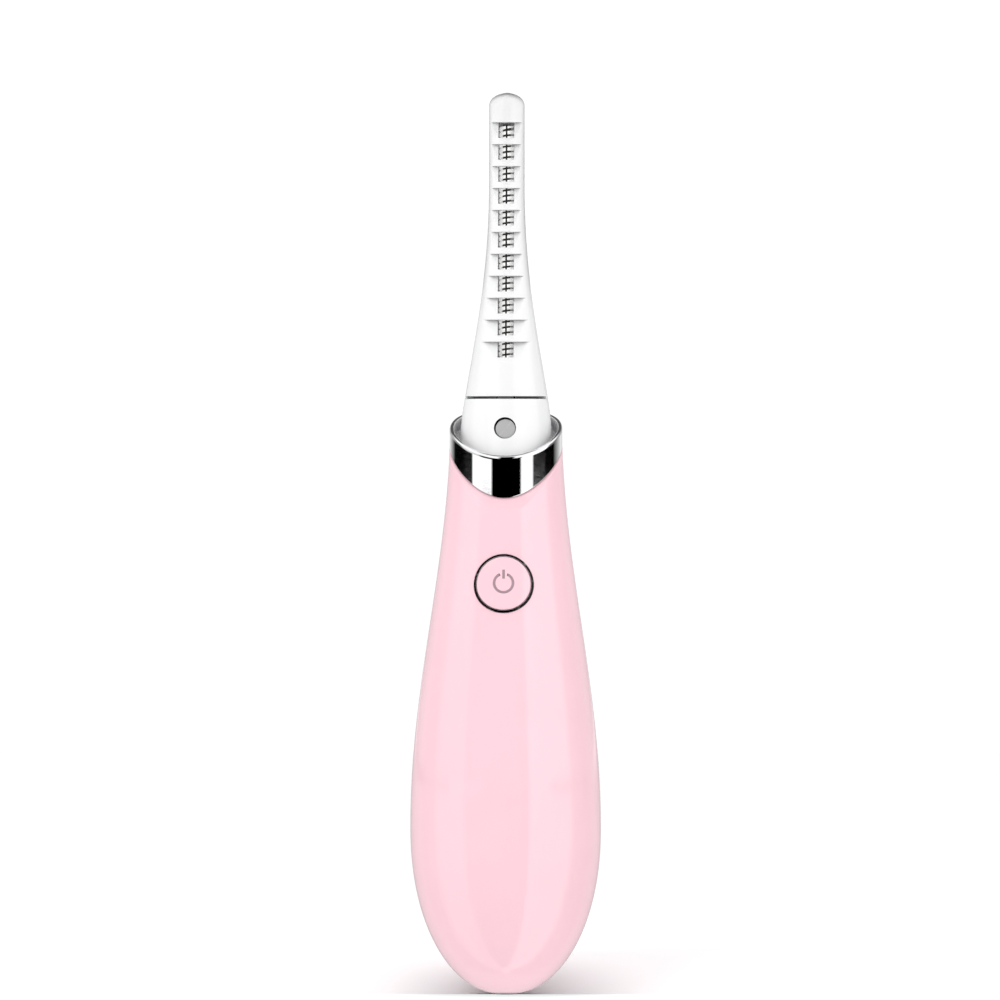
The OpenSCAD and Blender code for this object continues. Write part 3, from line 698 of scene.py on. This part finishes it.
def head_outline(z, factor=1.0, ease_in=0.0):
    """Half width, front, back and squareness of the head's outside."""
    return head_w(z) * factor, head_front(z) + ease_in, head_back(z) - ease_in, head_power(z)


def channel_outline(z):
    """The same for the hollow that holds the heater."""
    return head_w(z) - HEAD_WALL, head_front(z) + COMB_WALL, head_back(z) - HEAD_WALL, head_power(z)


def tip_shape(v):
    """Width factor and rounding of the front and back edges of the crown."""
    factor = (1 - v**2.2) ** (1 / 2.2) if v < 1 else 0.0
    return max(factor, 1e-6), 0.5 * (1 - math.sqrt(1 - clamp((v - 0.6) / 0.4) ** 2))


def crown_z(v, y):
    top = TOP_Z - CROWN_FALL * max(CROWN_BACK_Y - y, 0)
    return TIP_START + v * (top - TIP_START)


def crown_rows():
    """(z, share of the crown's rise) of the rows above the channel."""
    start = CHANNEL_TOP + 0.02
    rows = [(mix(start, TIP_START, k / 5), 0.0) for k in range(6)]
    return rows + [(TIP_START, math.sin(QUARTER * k / 16)) for k in range(1, 17)]


# ------------ comb's front

NOTCH_DEPTH = 1.15
WINDOW_HALF = 1.2
WINDOW_FROM, WINDOW_TO = 0.04, 2.36  # below each lip
RAIL = 0.3
LIP_ROLL = 0.12
COMB_ZS = [COMB_TOP - i * COMB_PITCH for i in range(COMB_WINDOWS)]
LIP_ROWS = [(-0.14, 0), (-0.07, 0.02), (-0.02, 0.07), (0, LIP_ROLL)]
NOTCH_ROWS = [0.004, 0.05, 0.1, 0.3, 0.6, 0.9, 1.2, 1.5, 1.8, 2.1, 2.35, 2.5, 2.65, 2.8, 2.95]
FOOT_ROWS = 14
COMB_COUNTS = (6, 8, 3, 12)
WINDOW_COLS = COMB_COUNTS[0]
NOTCH_COLS = COMB_COUNTS[0] + COMB_COUNTS[1]


def notch_floor(fall):
    """Depth of a shingle's face behind the comb's, a distance below its lip."""
    return NOTCH_DEPTH - fall * (NOTCH_DEPTH + 0.1) / (COMB_PITCH - 0.35)


def comb_rows():
    """(z, distance below the lip or None, roll of the lip, rounding of the
    foot's edge) from the seam to the tip."""
    foot = COMB_SEAM_Z + BASE_GAP
    first = COMB_ZS[-1] - NOTCH_ROWS[-1]
    rows = [(foot, None, 0, 0.08), (foot + 0.03, None, 0, 0.02)]
    rows += [(mix(foot + 0.08, first, k / FOOT_ROWS), None, 0, 0) for k in range(FOOT_ROWS)]
    for z0 in reversed(COMB_ZS):
        rows += [(z0 - f, f, 0, 0) for f in reversed(NOTCH_ROWS)]
        rows += [(z0 - f, None, r, 0) for f, r in reversed(LIP_ROWS)]
        rows.append((z0 + 0.25, None, 0, 0))
    return rows


def comb_angles(z, outline):
    """Angles from the middle of the front to the parting line."""
    _, y0, y1, power = outline
    full = head_w(z)
    edges = (WINDOW_HALF, full - RAIL, full - RAIL + 0.1)
    stops = [-QUARTER] + [angle_at_x(min(x, full - 0.02), full, power) for x in edges]
    stops.append(angle_at_y(parting_y(z) - PARTING_GAP / 2, y0, y1, power))
    return spread(stops, COMB_COUNTS)


def comb_inner(z):
    """Row of the comb's inside, up to the channel's top."""
    z = min(z, CHANNEL_TOP)
    w, y0, y1, power = channel_outline(z)
    edges = (WINDOW_HALF, w - 0.25, w - 0.2)
    stops = sorted([-QUARTER] + [angle_at_x(min(x, w - 0.05), w, power) for x in edges])
    stops.append(angle_at_y(parting_y(z) - PARTING_GAP / 2, y0, y1, power))
    return [(*oval(w, y0, y1, power, a), z) for a in spread(stops, COMB_COUNTS)]


def mirrored(half):
    """Left half, from the side to the front, then the right half."""
    return [(-x, y, z) for x, y, z in reversed(half[1:])] + half


def smooth_max(a, b, k=0.04):
    h = clamp(0.5 + 0.5 * (a - b) / k)
    return mix(b, a, h) + k * h * (1 - h)


def comb_piece():
    outer, inner, falls = [], [], []
    for z, fall, lip, back in comb_rows():
        outline = head_outline(z)
        half = []
        for j, a in enumerate(comb_angles(z, outline)):
            x, y = oval(*outline, a)
            if j <= NOTCH_COLS:
                if fall is not None:
                    y = smooth_max(y, face_y(z) + notch_floor(fall))
                y += lip * clamp((face_y(z) + NOTCH_DEPTH - y) / 0.2)
            half.append((x * (1 - back / outline[0]), y + back, z))
        outer.append(mirrored(half))
        inner.append(mirrored(comb_inner(z)))
        falls.append(fall)
    # the solid tip, whose inside is the flat of the parting line
    for z, v in crown_rows():
        outline = head_outline(z, *tip_shape(v))
        angles = comb_angles(z, outline)
        cut_y = parting_y(z) - PARTING_GAP / 2
        reach = oval(*outline, angles[-1])[0]
        half, flat = [], []
        for j, a in enumerate(angles):
            x, y = oval(*outline, a)
            half.append((x, y, crown_z(v, y) if v else z))
            flat.append((reach * j / (len(angles) - 1), cut_y, crown_z(v, cut_y) if v else z))
        outer.append(mirrored(half))
        inner.append(mirrored(flat))
        falls.append(None)
    middle = len(outer[0]) // 2

    def keep(i, j):
        low, high = falls[i], falls[i + 1]
        if low is None or high is None or low > WINDOW_TO or high < WINDOW_FROM:
            return True
        return not middle - WINDOW_COLS <= j < middle + WINDOW_COLS

    return skin_solid("comb_shingles", outer, inner, keep, ridge=True, sharp=40)


TONGUE_W, TONGUE_T, TONGUE_H, TONGUE_DROP = 2.4, 0.9, 4.0, 1.6


def tongue():
    """Block under the comb's foot that reaches down behind the base."""
    y = head_front(COMB_SEAM_Z) + COMB_WALL + 0.15
    low = COMB_SEAM_Z - TONGUE_DROP
    half = TONGUE_W / 2
    plan = ((-half, y), (half, y), (half, y + TONGUE_T), (-half, y + TONGUE_T))
    corners = [(*p, z) for z in (low, low + TONGUE_H) for p in plan]
    faces = [(3, 2, 1, 0), (4, 5, 6, 7), (0, 1, 5, 4), (1, 2, 6, 5), (2, 3, 7, 6), (3, 0, 4, 7)]
    return make_object("tongue", corners, faces, body=None)


comb = paint(join(comb_piece(), tongue()), "comb")
# painted shadow: the comb's foot and the tongue's lower part are blackened
tint(comb, "shadow", lambda c, n: c.z < COMB_SEAM_Z + BASE_GAP + 0.02)
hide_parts("comb_front_grille")


# ------------ head's rear housing

POCKET_DEPTH = 0.75
POCKET_EDGE = 0.06  # half width of a pocket's rounded border
POCKET_FOOT = 2.65  # its lower end below a lip
CLIP_GROOVE = 0.6
ROOM = 0.1  # between the head's base and the collar's floor
INNER_LIFT = 1.3
BASE_ROWS, WALL_ROWS = 22, 8
HOUSING_COUNTS = (18, 6, 2, 6, 2, 8)
FRONT_COLS = HOUSING_COUNTS[0]
POCKET_FIRST = HOUSING_COUNTS[0] + HOUSING_COUNTS[1]
POCKET_LAST = POCKET_FIRST + sum(HOUSING_COUNTS[2:5])


def pocket_span(z):
    """Front and back edges of the side pocket at height z, and its depth."""
    t = clamp((z - COMB_FOOT) / (COMB_TOP - COMB_FOOT))
    y0 = face_y(z) + 5.8 - 1.3 * t
    y1 = head_back(z) - 1.5
    depth = POCKET_DEPTH * clamp((y1 - y0 - 0.2) / 0.6)
    return y0, max(y1, y0 + 0.3), depth


def housing_angles(z, outline):
    """Angles from the front to the back, with stops at the pocket's edges."""
    _, y0, y1, power = outline
    front, back, _ = pocket_span(z)
    edges = [parting_y(z) + PARTING_GAP / 2, front - POCKET_EDGE, front + POCKET_EDGE,
             back - POCKET_EDGE, back + POCKET_EDGE]
    edges = [min(e, y1 - 0.04 * (6 - k)) for k, e in enumerate(edges)]
    stops = [-QUARTER] + [angle_at_y(e, y0, y1, power) for e in edges] + [QUARTER]
    return spread(stops, HOUSING_COUNTS)


BASE_ANGLES = housing_angles(COMB_SEAM_Z, head_outline(COMB_SEAM_Z))


def pocket_mask(j):
    """How deep column j lies in the pocket, from 0 at its rims to 1 inside."""
    return ease((j - POCKET_FIRST) / 2) * ease((POCKET_LAST - j) / 2)


def full_ring(half):
    """Right half, front to back, then the left half back to front."""
    return half + [(-x, y, z) for x, y, z in reversed(half[1:-1])]


def base_row(v, outline, lift):
    """Row of the base from the collar's floor (v=0) to the seam (v=1)."""
    out = []
    for a in BASE_ANGLES:
        z = mix(80.0, COMB_SEAM_Z, v)
        for _ in range(16):
            x, y = oval(*outline(z), a)
            low = edge_height(y, COLLAR_FLOOR + lift)
            z = mix(z, low + v * (COMB_SEAM_Z - low), 0.7)
        out.append((x, y, z))
    return out


def round_row(r, z=None, lift=0.0):
    """Round row, level at z or else following the collar's floor."""
    points = [(r * math.cos(a), r * math.sin(a)) for a in BASE_ANGLES]
    return [(x, y, edge_height(y, COLLAR_FLOOR + lift) if z is None else z) for x, y in points]


def channel_row(z):
    z = min(z, CHANNEL_TOP)
    w, y0, y1, power = channel_outline(z)
    parting = angle_at_y(parting_y(z) + PARTING_GAP / 2, y0, y1, power)
    counts = (FRONT_COLS, sum(HOUSING_COUNTS[1:]))
    return [(*oval(w, y0, y1, power, a), z) for a in spread([-QUARTER, parting, QUARTER], counts)]


def housing_rows():
    """(z, share of the pocket's depth) from the seam to the channel's top."""
    border = ((-0.06, 0), (0, 0.3), (0.06, 0.85), (0.14, 1))
    start, first = COMB_SEAM_Z + 0.02, COMB_ZS[-1] - POCKET_FOOT - 0.1
    rows = [(mix(start, first, k / WALL_ROWS), 0.0) for k in range(WALL_ROWS + 1)]
    for z0 in reversed(COMB_ZS):
        low = z0 - POCKET_FOOT
        rows += [(low + f, d) for f, d in border]
        rows += [(mix(low + 0.14, z0 - 0.14, k / 6), 1) for k in range(1, 6)]
        rows += [(z0 - f, d) for f, d in reversed(border)]
        rows.append((z0 + 0.3, 0.0))
    return [(z, d) for z, d in rows if z < CHANNEL_TOP - 0.05] + [(CHANNEL_TOP, 0.0)]


def housing_piece():
    outer, inner, open_front = [], [], []

    def layer(outside, inside, front_open):
        outer.append(full_ring(outside))
        inner.append(full_ring(inside))
        open_front.append(front_open)

    # the stem, with the clip's groove
    groove_r, groove_top = STEM_R - CLIP_GROOVE, CLIP_Z + CLIP_H
    for r, z in ((STEM_R - 0.15, STEM_Z), (STEM_R, STEM_Z + 0.15), (STEM_R, CLIP_Z),
                 (groove_r, CLIP_Z), (groove_r, groove_top), (STEM_R, groove_top)):
        layer(round_row(r, z), round_row(STEM_BORE_R, z), False)
    layer(round_row(STEM_R, lift=ROOM), round_row(STEM_BORE_R, lift=INNER_LIFT), False)
    # the base, whose last row is rounded in at the seam
    for v in [k / BASE_ROWS for k in range(BASE_ROWS)] + [0.992, 1.0]:
        row = base_row(v, head_outline, ROOM)
        if v == 1.0:
            row = [(x * (1 - 0.03 / 6), y + 0.03 if j <= FRONT_COLS else y, z)
                   for j, (x, y, z) in enumerate(row)]
        layer(row, base_row(v, channel_outline, INNER_LIFT), False)
    # back and sides, open to the comb
    for z, share in housing_rows():
        outline = head_outline(z)
        dent = pocket_span(z)[2] * share
        half = []
        for j, a in enumerate(housing_angles(z, outline)):
            x, y = oval(*outline, a)
            half.append((x - min(dent * pocket_mask(j), max(x - 0.3, 0)), y, z))
        layer(half, channel_row(z), True)
    # the solid tip
    for z, v in crown_rows():
        outline = head_outline(z, *tip_shape(v))
        cut_y = parting_y(z) + PARTING_GAP / 2
        half, flat = [], []
        for a in housing_angles(z, outline):
            x, y = oval(*outline, a)
            half.append((x, y, crown_z(v, y) if v else z))
            flat.append((x, cut_y, crown_z(v, cut_y) if v else z))
        layer(half, flat, True)
    cols = len(outer[0])

    def keep(i, j):
        front = j < FRONT_COLS or j >= cols - FRONT_COLS
        return not (front and open_front[i + 1])

    return skin_solid("head_shell", outer, inner, keep, wrap=True, ridge=True, sharp=40)


LENS_HOLE = LENS_R + 0.15
LENS_HOLE_RINGS = [(LENS_HOLE, -3), (LENS_HOLE, -0.06), (LENS_HOLE + 0.02, -0.01),
                   (LENS_HOLE + 0.05, 0.05), (LENS_HOLE + 0.05, 2)]


def in_lens_hole(c):
    return c.y < head_front(LENS_Z) + 3 and off_axis(c, at_lens) < LENS_HOLE + 0.005


housing = housing_piece()
cut(housing, drum("lens_cutter", LENS_HOLE_RINGS, at_lens, 96), sharp=40)
paint(housing, "white")
# painted shadow: the ledge under the comb's foot and the walls of the lens hole are blackened
tint(housing, "shadow", lambda c, n: abs(c.z - COMB_SEAM_Z) < 0.05 and n.z > 0.8)
tint(housing, "shadow", lambda c, n: in_lens_hole(c))
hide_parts("head_rear_housing")


# ------------ lens, ring and button

LENS_SLIP = 0.08  # the lens sits low and to the right in its hole
LENS_SINK, LENS_DOME, LENS_ROLL = 0.25, 0.07, 0.1


def lens_profile(_):
    dome = [(r, -LENS_SINK + LENS_DOME * (1 - (r / LENS_R) ** 2))
            for r in (0, 0.3, 0.6, 0.9, 1.2, 1.36)]
    edge = [(LENS_R + LENS_ROLL * (math.sin(b) - 1), -LENS_SINK + LENS_ROLL * (math.cos(b) - 1))
            for b in (0.2, 0.6, 1.0, 1.3, 1.57)]
    return [*dome, *edge, (LENS_R, -1.72), (LENS_R - 0.08, -1.8), (0, -1.8)]


def at_slipped_lens(p):
    return at_lens((p[0] + LENS_SLIP, p[1] - LENS_SLIP, p[2]))


lens = paint(turned("status_lens", lens_profile, 96, at_slipped_lens), "lens")
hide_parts("indicator_lens")


def cover(x, h):
    """Height over the button's frame of a cover that follows the handle."""
    r = handle_r(BUTTON_Z) + h
    return h - r + math.sqrt(r * r - x * x)


RING_PROUD, RING_FOOT, RING_ROLL = 0.22, -2.75, 0.2


def bezel_profile(a):
    def top(r):
        return cover(r * math.cos(a), RING_PROUD)

    bore, outer = CAP_R + 0.05, BEZEL_R - 0.01
    loop = [(outer, RING_FOOT), (outer, top(outer) - RING_ROLL)]
    for k in range(1, 8):
        b = QUARTER * k / 8
        r = outer - RING_ROLL * (1 - math.cos(b))
        loop.append((r, top(r) - RING_ROLL * (1 - math.sin(b))))
    for k in range(8):
        b = QUARTER * k / 8
        r = bore + 0.19 * (1 - math.sin(b))
        loop.append((r, top(r) - RING_ROLL * (1 - math.cos(b))))
    loop += [(bore, top(bore) - 0.25), (bore, RING_FOOT)]
    return loop


ring = paint(turned("button_ring", bezel_profile, 160, at_button, closed=True, sharp=50), "ring")
tint(ring, "satin", lambda c, n: off_axis(c, at_button) < CAP_R + 0.1)
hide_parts("button_bezel")

CAP_FILLET, CAP_BORE_R, CAP_BORE_TOP, POST_R = 0.32, CAP_R - 0.6, -1.2, 0.9


def cap_profile(a):
    def top(r):
        return cover(r * math.cos(a), BUTTON_PROUD)

    loop = [(r, top(r)) for r in (0, 0.6, 1.2, 1.8, 2.4, 3.0, 3.4)]
    for k in range(9):
        b = QUARTER * k / 8
        r = CAP_R - CAP_FILLET * (1 - math.sin(b))
        loop.append((r, top(r) - CAP_FILLET * (1 - math.cos(b))))
    flange_top, post_end = -CAP_DEPTH + 0.5, -CAP_DEPTH + 1
    loop += [(CAP_R, flange_top), (FLANGE_R, flange_top), (FLANGE_R, -CAP_DEPTH),
             (CAP_BORE_R, -CAP_DEPTH), (CAP_BORE_R, CAP_BORE_TOP), (POST_R, CAP_BORE_TOP),
             (POST_R, post_end), (0, post_end)]
    return loop


SYMBOL_GAP, BAR_LOW, BAR_HIGH = 0.62, 0.68, 2.0
SYMBOL_DEPTH, SYMBOL_OVER, SYMBOL_STEPS = 0.45, 0.6, 72


def symbol_cutter(grow):
    """The power sign as a cutter: an open ring and a bar."""
    inner_r, outer_r = SYMBOL_R - SYMBOL_LINE - grow, SYMBOL_R + grow
    gap = math.asin((SYMBOL_GAP - grow) / SYMBOL_R)
    low, high = BUTTON_PROUD - SYMBOL_DEPTH, BUTTON_PROUD + SYMBOL_OVER
    verts, faces = [], []
    n = SYMBOL_STEPS
    for k in range(n + 1):
        a = QUARTER + gap + (TURN - 2 * gap) * k / n
        for r, z in ((inner_r, low), (outer_r, low), (outer_r, high), (inner_r, high)):
            verts.append(at_button((r * math.cos(a), r * math.sin(a), z)))
    for k in range(n):
        for m in range(4):
            a, b = k * 4 + m, k * 4 + (m + 1) % 4
            faces.append((a, b, b + 4, a + 4))
    faces += [(3, 2, 1, 0), (n * 4, n * 4 + 1, n * 4 + 2, n * 4 + 3)]
    half = SYMBOL_LINE / 2 + grow
    foot, head = BAR_LOW - grow, BAR_HIGH + grow
    b = len(verts)
    for z in (low, high):
        for x, y in ((-half, foot), (half, foot), (half, head), (-half, head)):
            verts.append(at_button((x, y, z)))
    faces += [(b + 3, b + 2, b + 1, b), (b + 4, b + 5, b + 6, b + 7)]
    faces += [(b + k, b + (k + 1) % 4, b + 4 + (k + 1) % 4, b + 4 + k) for k in range(4)]
    return make_object("symbol_cutter", verts, faces, body=None)


cap = turned("power_cap", cap_profile, 144, at_button, body="button")
cut(cap, symbol_cutter(0.02))
paint(cap, "button")
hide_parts("power_button")


# ------------ heater

COIL_PITCH, COIL_MIDDLE_R, COIL_FROM, COIL_SHORT = 0.83, 1.0, 0.8 + 0.3, 0.3
WIRE_HALF_T, WIRE_HALF_W = 0.11, 0.27
WIRE_SIDES, TURN_STEPS = 12, 32
END_TAPER, END_SHARE = 90, 0.25


def at_heater(p):
    x, y, z = p
    c, s = math.cos(COMB_LEAN), math.sin(COMB_LEAN)
    return (x, face_y(HEATER_FOOT) + HEATER_SET + y * c + z * s, HEATER_FOOT - y * s + z * c)


def coil_piece():
    """Flat resistance wire wound round the rod, as one ribbon."""
    low, high = COIL_FROM, HEATER_LEN - COIL_SHORT
    turns = (high - low) / COIL_PITCH
    steps = int(turns * TURN_STEPS)
    section = []
    for k in range(WIRE_SIDES):
        b = TURN * k / WIRE_SIDES
        section.append((WIRE_HALF_T * signed_pow(math.cos(b), 0.8),
                        WIRE_HALF_W * signed_pow(math.sin(b), 0.7)))
    verts, faces = [], []
    n = WIRE_SIDES
    for i in range(steps + 1):
        a = TURN * turns * (i / steps - 1)
        z = low + (high - low) * i / steps
        taper = min(1.0, END_SHARE + END_TAPER * min(i, steps - i) / steps)
        for dr, dz in section:
            r = COIL_MIDDLE_R + dr * taper
            verts.append(at_heater((r * math.cos(a), r * math.sin(a), z + dz * taper)))
    for i in range(steps):
        for k in range(n):
            m = (k + 1) % n
            faces.append((i * n + k, i * n + m, (i + 1) * n + m, (i + 1) * n + k))
    faces += [tuple(reversed(range(n))), tuple(range(steps * n, (steps + 1) * n))]
    return make_object("coil_winding", verts, faces, sharp=60)


coil = paint(coil_piece(), "wire")
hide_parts("heater_coil")


# ------------ stage, light, camera

VIEW_TURN = math.radians(1.75)
LEVELS = 20  # steps of brightness in a card's finish
GLOWS = {}


def card_finish(strength):
    """Plain glowing material, one for each step of brightness."""
    level = round(strength * LEVELS)
    if level not in GLOWS:
        mat, tree = new_material(f"card_{level}")
        tree.nodes.clear()
        lamp = add(tree, "Emission", {"Color": (1, 1, 1, 1), "Strength": level / LEVELS})
        add(tree, "OutputMaterial", {"Surface": lamp.outputs["Emission"]})
        GLOWS[level] = mat
    return GLOWS[level]


def stage_mesh(name, verts, faces, materials, hidden_from=()):
    """Mesh of the studio, hidden from some kinds of ray."""
    mesh = bpy.data.meshes.new(name)
    mesh.from_pydata(verts, [], faces)
    for m in materials:
        mesh.materials.append(m)
    obj = bpy.data.objects.new(name, mesh)
    bpy.context.scene.collection.objects.link(obj)
    for ray in hidden_from:
        setattr(obj, "visible_" + ray, False)
    return obj


def brightness(stops, at):
    for (a0, s0), (a1, s1) in zip(stops, stops[1:]):
        if a0 <= at < a1:
            return mix(s0, s1, (at - a0) / (a1 - a0))


def reflector(name, stops, radius, low, high, step=2):
    """Curved studio card that only reflections see. Each stop is an angle
    from the camera's side round to the right, and the brightness there."""
    verts, strengths = [], []
    n = 360 // step
    for k in range(n):
        a = math.radians(k * step) + VIEW_TURN
        verts += [(radius * math.sin(a), -radius * math.cos(a), z) for z in (low, high)]
        at = (k + 0.5) * step
        strengths.append(brightness(stops, at - 360 if at > 180 else at))
    ahead = [(k + 1) % n for k in range(n)]
    faces = [(2 * k, 2 * m, 2 * m + 1, 2 * k + 1) for k, m in enumerate(ahead)]
    materials = list(dict.fromkeys(card_finish(v) for v in strengths))
    obj = stage_mesh(name, verts, faces, materials,
                     ("camera", "diffuse", "shadow", "transmission"))
    for face, v in zip(obj.data.polygons, strengths):
        face.material_index = materials.index(card_finish(v))


# Brightness of the studio round the object, as (degrees, brightness). The
# collar reflects the middle row and the head a ring of its own, close to it.
BODY_CARD = [(-180, 0.5), (-130, 0.5), (-112, 0.25), (-100, 0.2), (-90, 0.75), (-55, 0.75),
             (-48, 0.0), (27, 0.0), (30, 1.3), (84, 1.3), (92, 0.15), (120, 0.25), (135, 0.5),
             (181, 0.5)]
COLLAR_CARD = [(-180, 0.6), (-160, 0.8), (-130, 0.0), (-75, 0.0), (-71, 1.25), (-31, 1.25),
               (-28, 0.0), (29, 0.0), (32, 1.25), (55, 1.25), (59, 0.0), (114, 0.0), (150, 0.9),
               (181, 0.6)]
HEAD_CARD = [(-180, 0.1), (-130, 0.1), (-105, 1.15), (-16, 1.15), (-10, 0.0), (10, 0.0),
             (16, 1.15), (105, 1.15), (130, 0.1), (181, 0.1)]
FAR_R, NEAR_R = 3, 0.05
COLLAR_BAND = (0.07, 0.13)
reflector("low_card", BODY_CARD, FAR_R, -40, COLLAR_BAND[0])
reflector("collar_card", COLLAR_CARD, FAR_R, *COLLAR_BAND)
reflector("high_card", BODY_CARD, FAR_R, COLLAR_BAND[1], 4)
reflector("head_card", HEAD_CARD, NEAR_R, 0.1085, 0.2)

# Black flag above the tip, which draws the edge of its top
FLAG_Z, FLAG_R = 0.152, 0.016
flag_arc = [TURN * k / 32 for k in range(32)]
flag_ring = [(FLAG_R * math.cos(a), FLAG_R * math.sin(a), FLAG_Z) for a in flag_arc]
stage_mesh("tip_flag", flag_ring, [tuple(range(32))], [card_finish(0)], ("camera",))

# Glowing sheet on the floor in front, which lights the butt from below
SHEET_RADII, SHEET_Y, SHEET_Z, SHEET_STEPS = (0.001, 0.02), -0.001, 0.0003, 24
sheet_arc = [math.pi * (1 + k / SHEET_STEPS) for k in range(SHEET_STEPS + 1)]
sheet_points = [(r * math.cos(a), r * math.sin(a) + SHEET_Y, SHEET_Z)
                for r in SHEET_RADII for a in sheet_arc]
sheet_faces = [(k, k + 1, k + SHEET_STEPS + 2, k + SHEET_STEPS + 1) for k in range(SHEET_STEPS)]
stage_mesh("front_sheet", sheet_points, sheet_faces, [card_finish(1.15)],
           ("camera", "glossy", "shadow"))

# Paper floor that sweeps up a little behind the object, with a soft contact
# shade painted round the butt
FLOOR_Z = cad_box[0].z
HALF = 1.6
SWEEP = [(-HALF, 0.0), (0.003, 0.0), (0.0045, 0.0002), (0.006, 0.0006), (0.008, 0.0013),
         (0.010, 0.0021), (0.013, 0.0031), (0.017, 0.0041), (0.022, 0.0049), (0.029, 0.0055),
         (0.038, 0.0058), (0.05, 0.006), (HALF, 0.006)]
SHADE_REACH = (0.002, 0.026)
SHADE_TONE, PAPER_TONE = (0.66, 0.685, 0.68, 1), (0.975, 0.975, 0.975, 1)
paper, paper_tree = new_material("floor_paper")
floor_place = add(paper_tree, "TexCoord", {}).outputs["Object"]
from_middle = add(paper_tree, "VectorMath", {0: floor_place}, operation="LENGTH").outputs["Value"]
fade = remap(paper_tree, from_middle, *SHADE_REACH, interpolation_type="SMOOTHERSTEP")
fill(paper_tree, paper_tree.nodes["Principled BSDF"], {
    "Base Color": blend(paper_tree, fade, SHADE_TONE, PAPER_TONE),
    "Roughness": 0.9,
    "Specular IOR Level": 0.1,
})
floor_points = [(x, y, FLOOR_Z + z) for y, z in SWEEP for x in (-HALF, HALF)]
floor_faces = [(k, k + 1, k + 3, k + 2) for k in range(0, 2 * len(SWEEP) - 2, 2)]
floor = stage_mesh("floor", floor_points, floor_faces, [paper], ("glossy",))
for face in floor.data.polygons:
    face.use_smooth = True

world = bpy.data.worlds.new("studio")
bpy.context.scene.world = world
world.use_nodes = True
sky = world.node_tree.nodes["Background"]
fill(world.node_tree, sky, {"Color": (1, 1, 1, 1), "Strength": 1.05})


def area_light(name, place, aim, size, power):
    data = bpy.data.lights.new(name, "AREA")
    data.shape = "DISK"
    data.size = size
    data.energy = power
    obj = bpy.data.objects.new(name, data)
    bpy.context.scene.collection.objects.link(obj)
    obj.location = place
    obj.rotation_mode = "QUATERNION"
    obj.rotation_quaternion = (Vector(aim) - Vector(place)).to_track_quat("-Z", "Y")
    obj.visible_glossy = False
    obj.visible_camera = False


OBJECT_MIDDLE = (0, 0, 0.07)
area_light("key", (-0.5, -0.6, 0.7), OBJECT_MIDDLE, 0.5, 1.6)
area_light("fill", (0.6, -0.5, 0.4), OBJECT_MIDDLE, 0.6, 0.6)

scene = bpy.context.scene
scene.view_settings.view_transform = "Standard"
scene.view_settings.look = "None"
scene.view_settings.exposure = 0
scene.view_settings.gamma = 1

FRAME_SIZE, SENSOR = 0.150, 36
CAMERA_X, CAMERA_Z, CAMERA_FAR = -0.0009, 0.07425, 2.0
cam_data = bpy.data.cameras.new("camera")
cam_data.sensor_width = SENSOR
cam_data.lens = SENSOR * CAMERA_FAR / FRAME_SIZE
cam_data.clip_start, cam_data.clip_end = 0.01, 20
camera = bpy.data.objects.new("camera", cam_data)
scene.collection.objects.link(camera)
turn_c, turn_s = math.cos(VIEW_TURN), math.sin(VIEW_TURN)
camera.location = (CAMERA_X * turn_c + CAMERA_FAR * turn_s,
                   CAMERA_X * turn_s - CAMERA_FAR * turn_c, CAMERA_Z)
camera.rotation_euler = (QUARTER, 0, VIEW_TURN)
scene.camera = camera
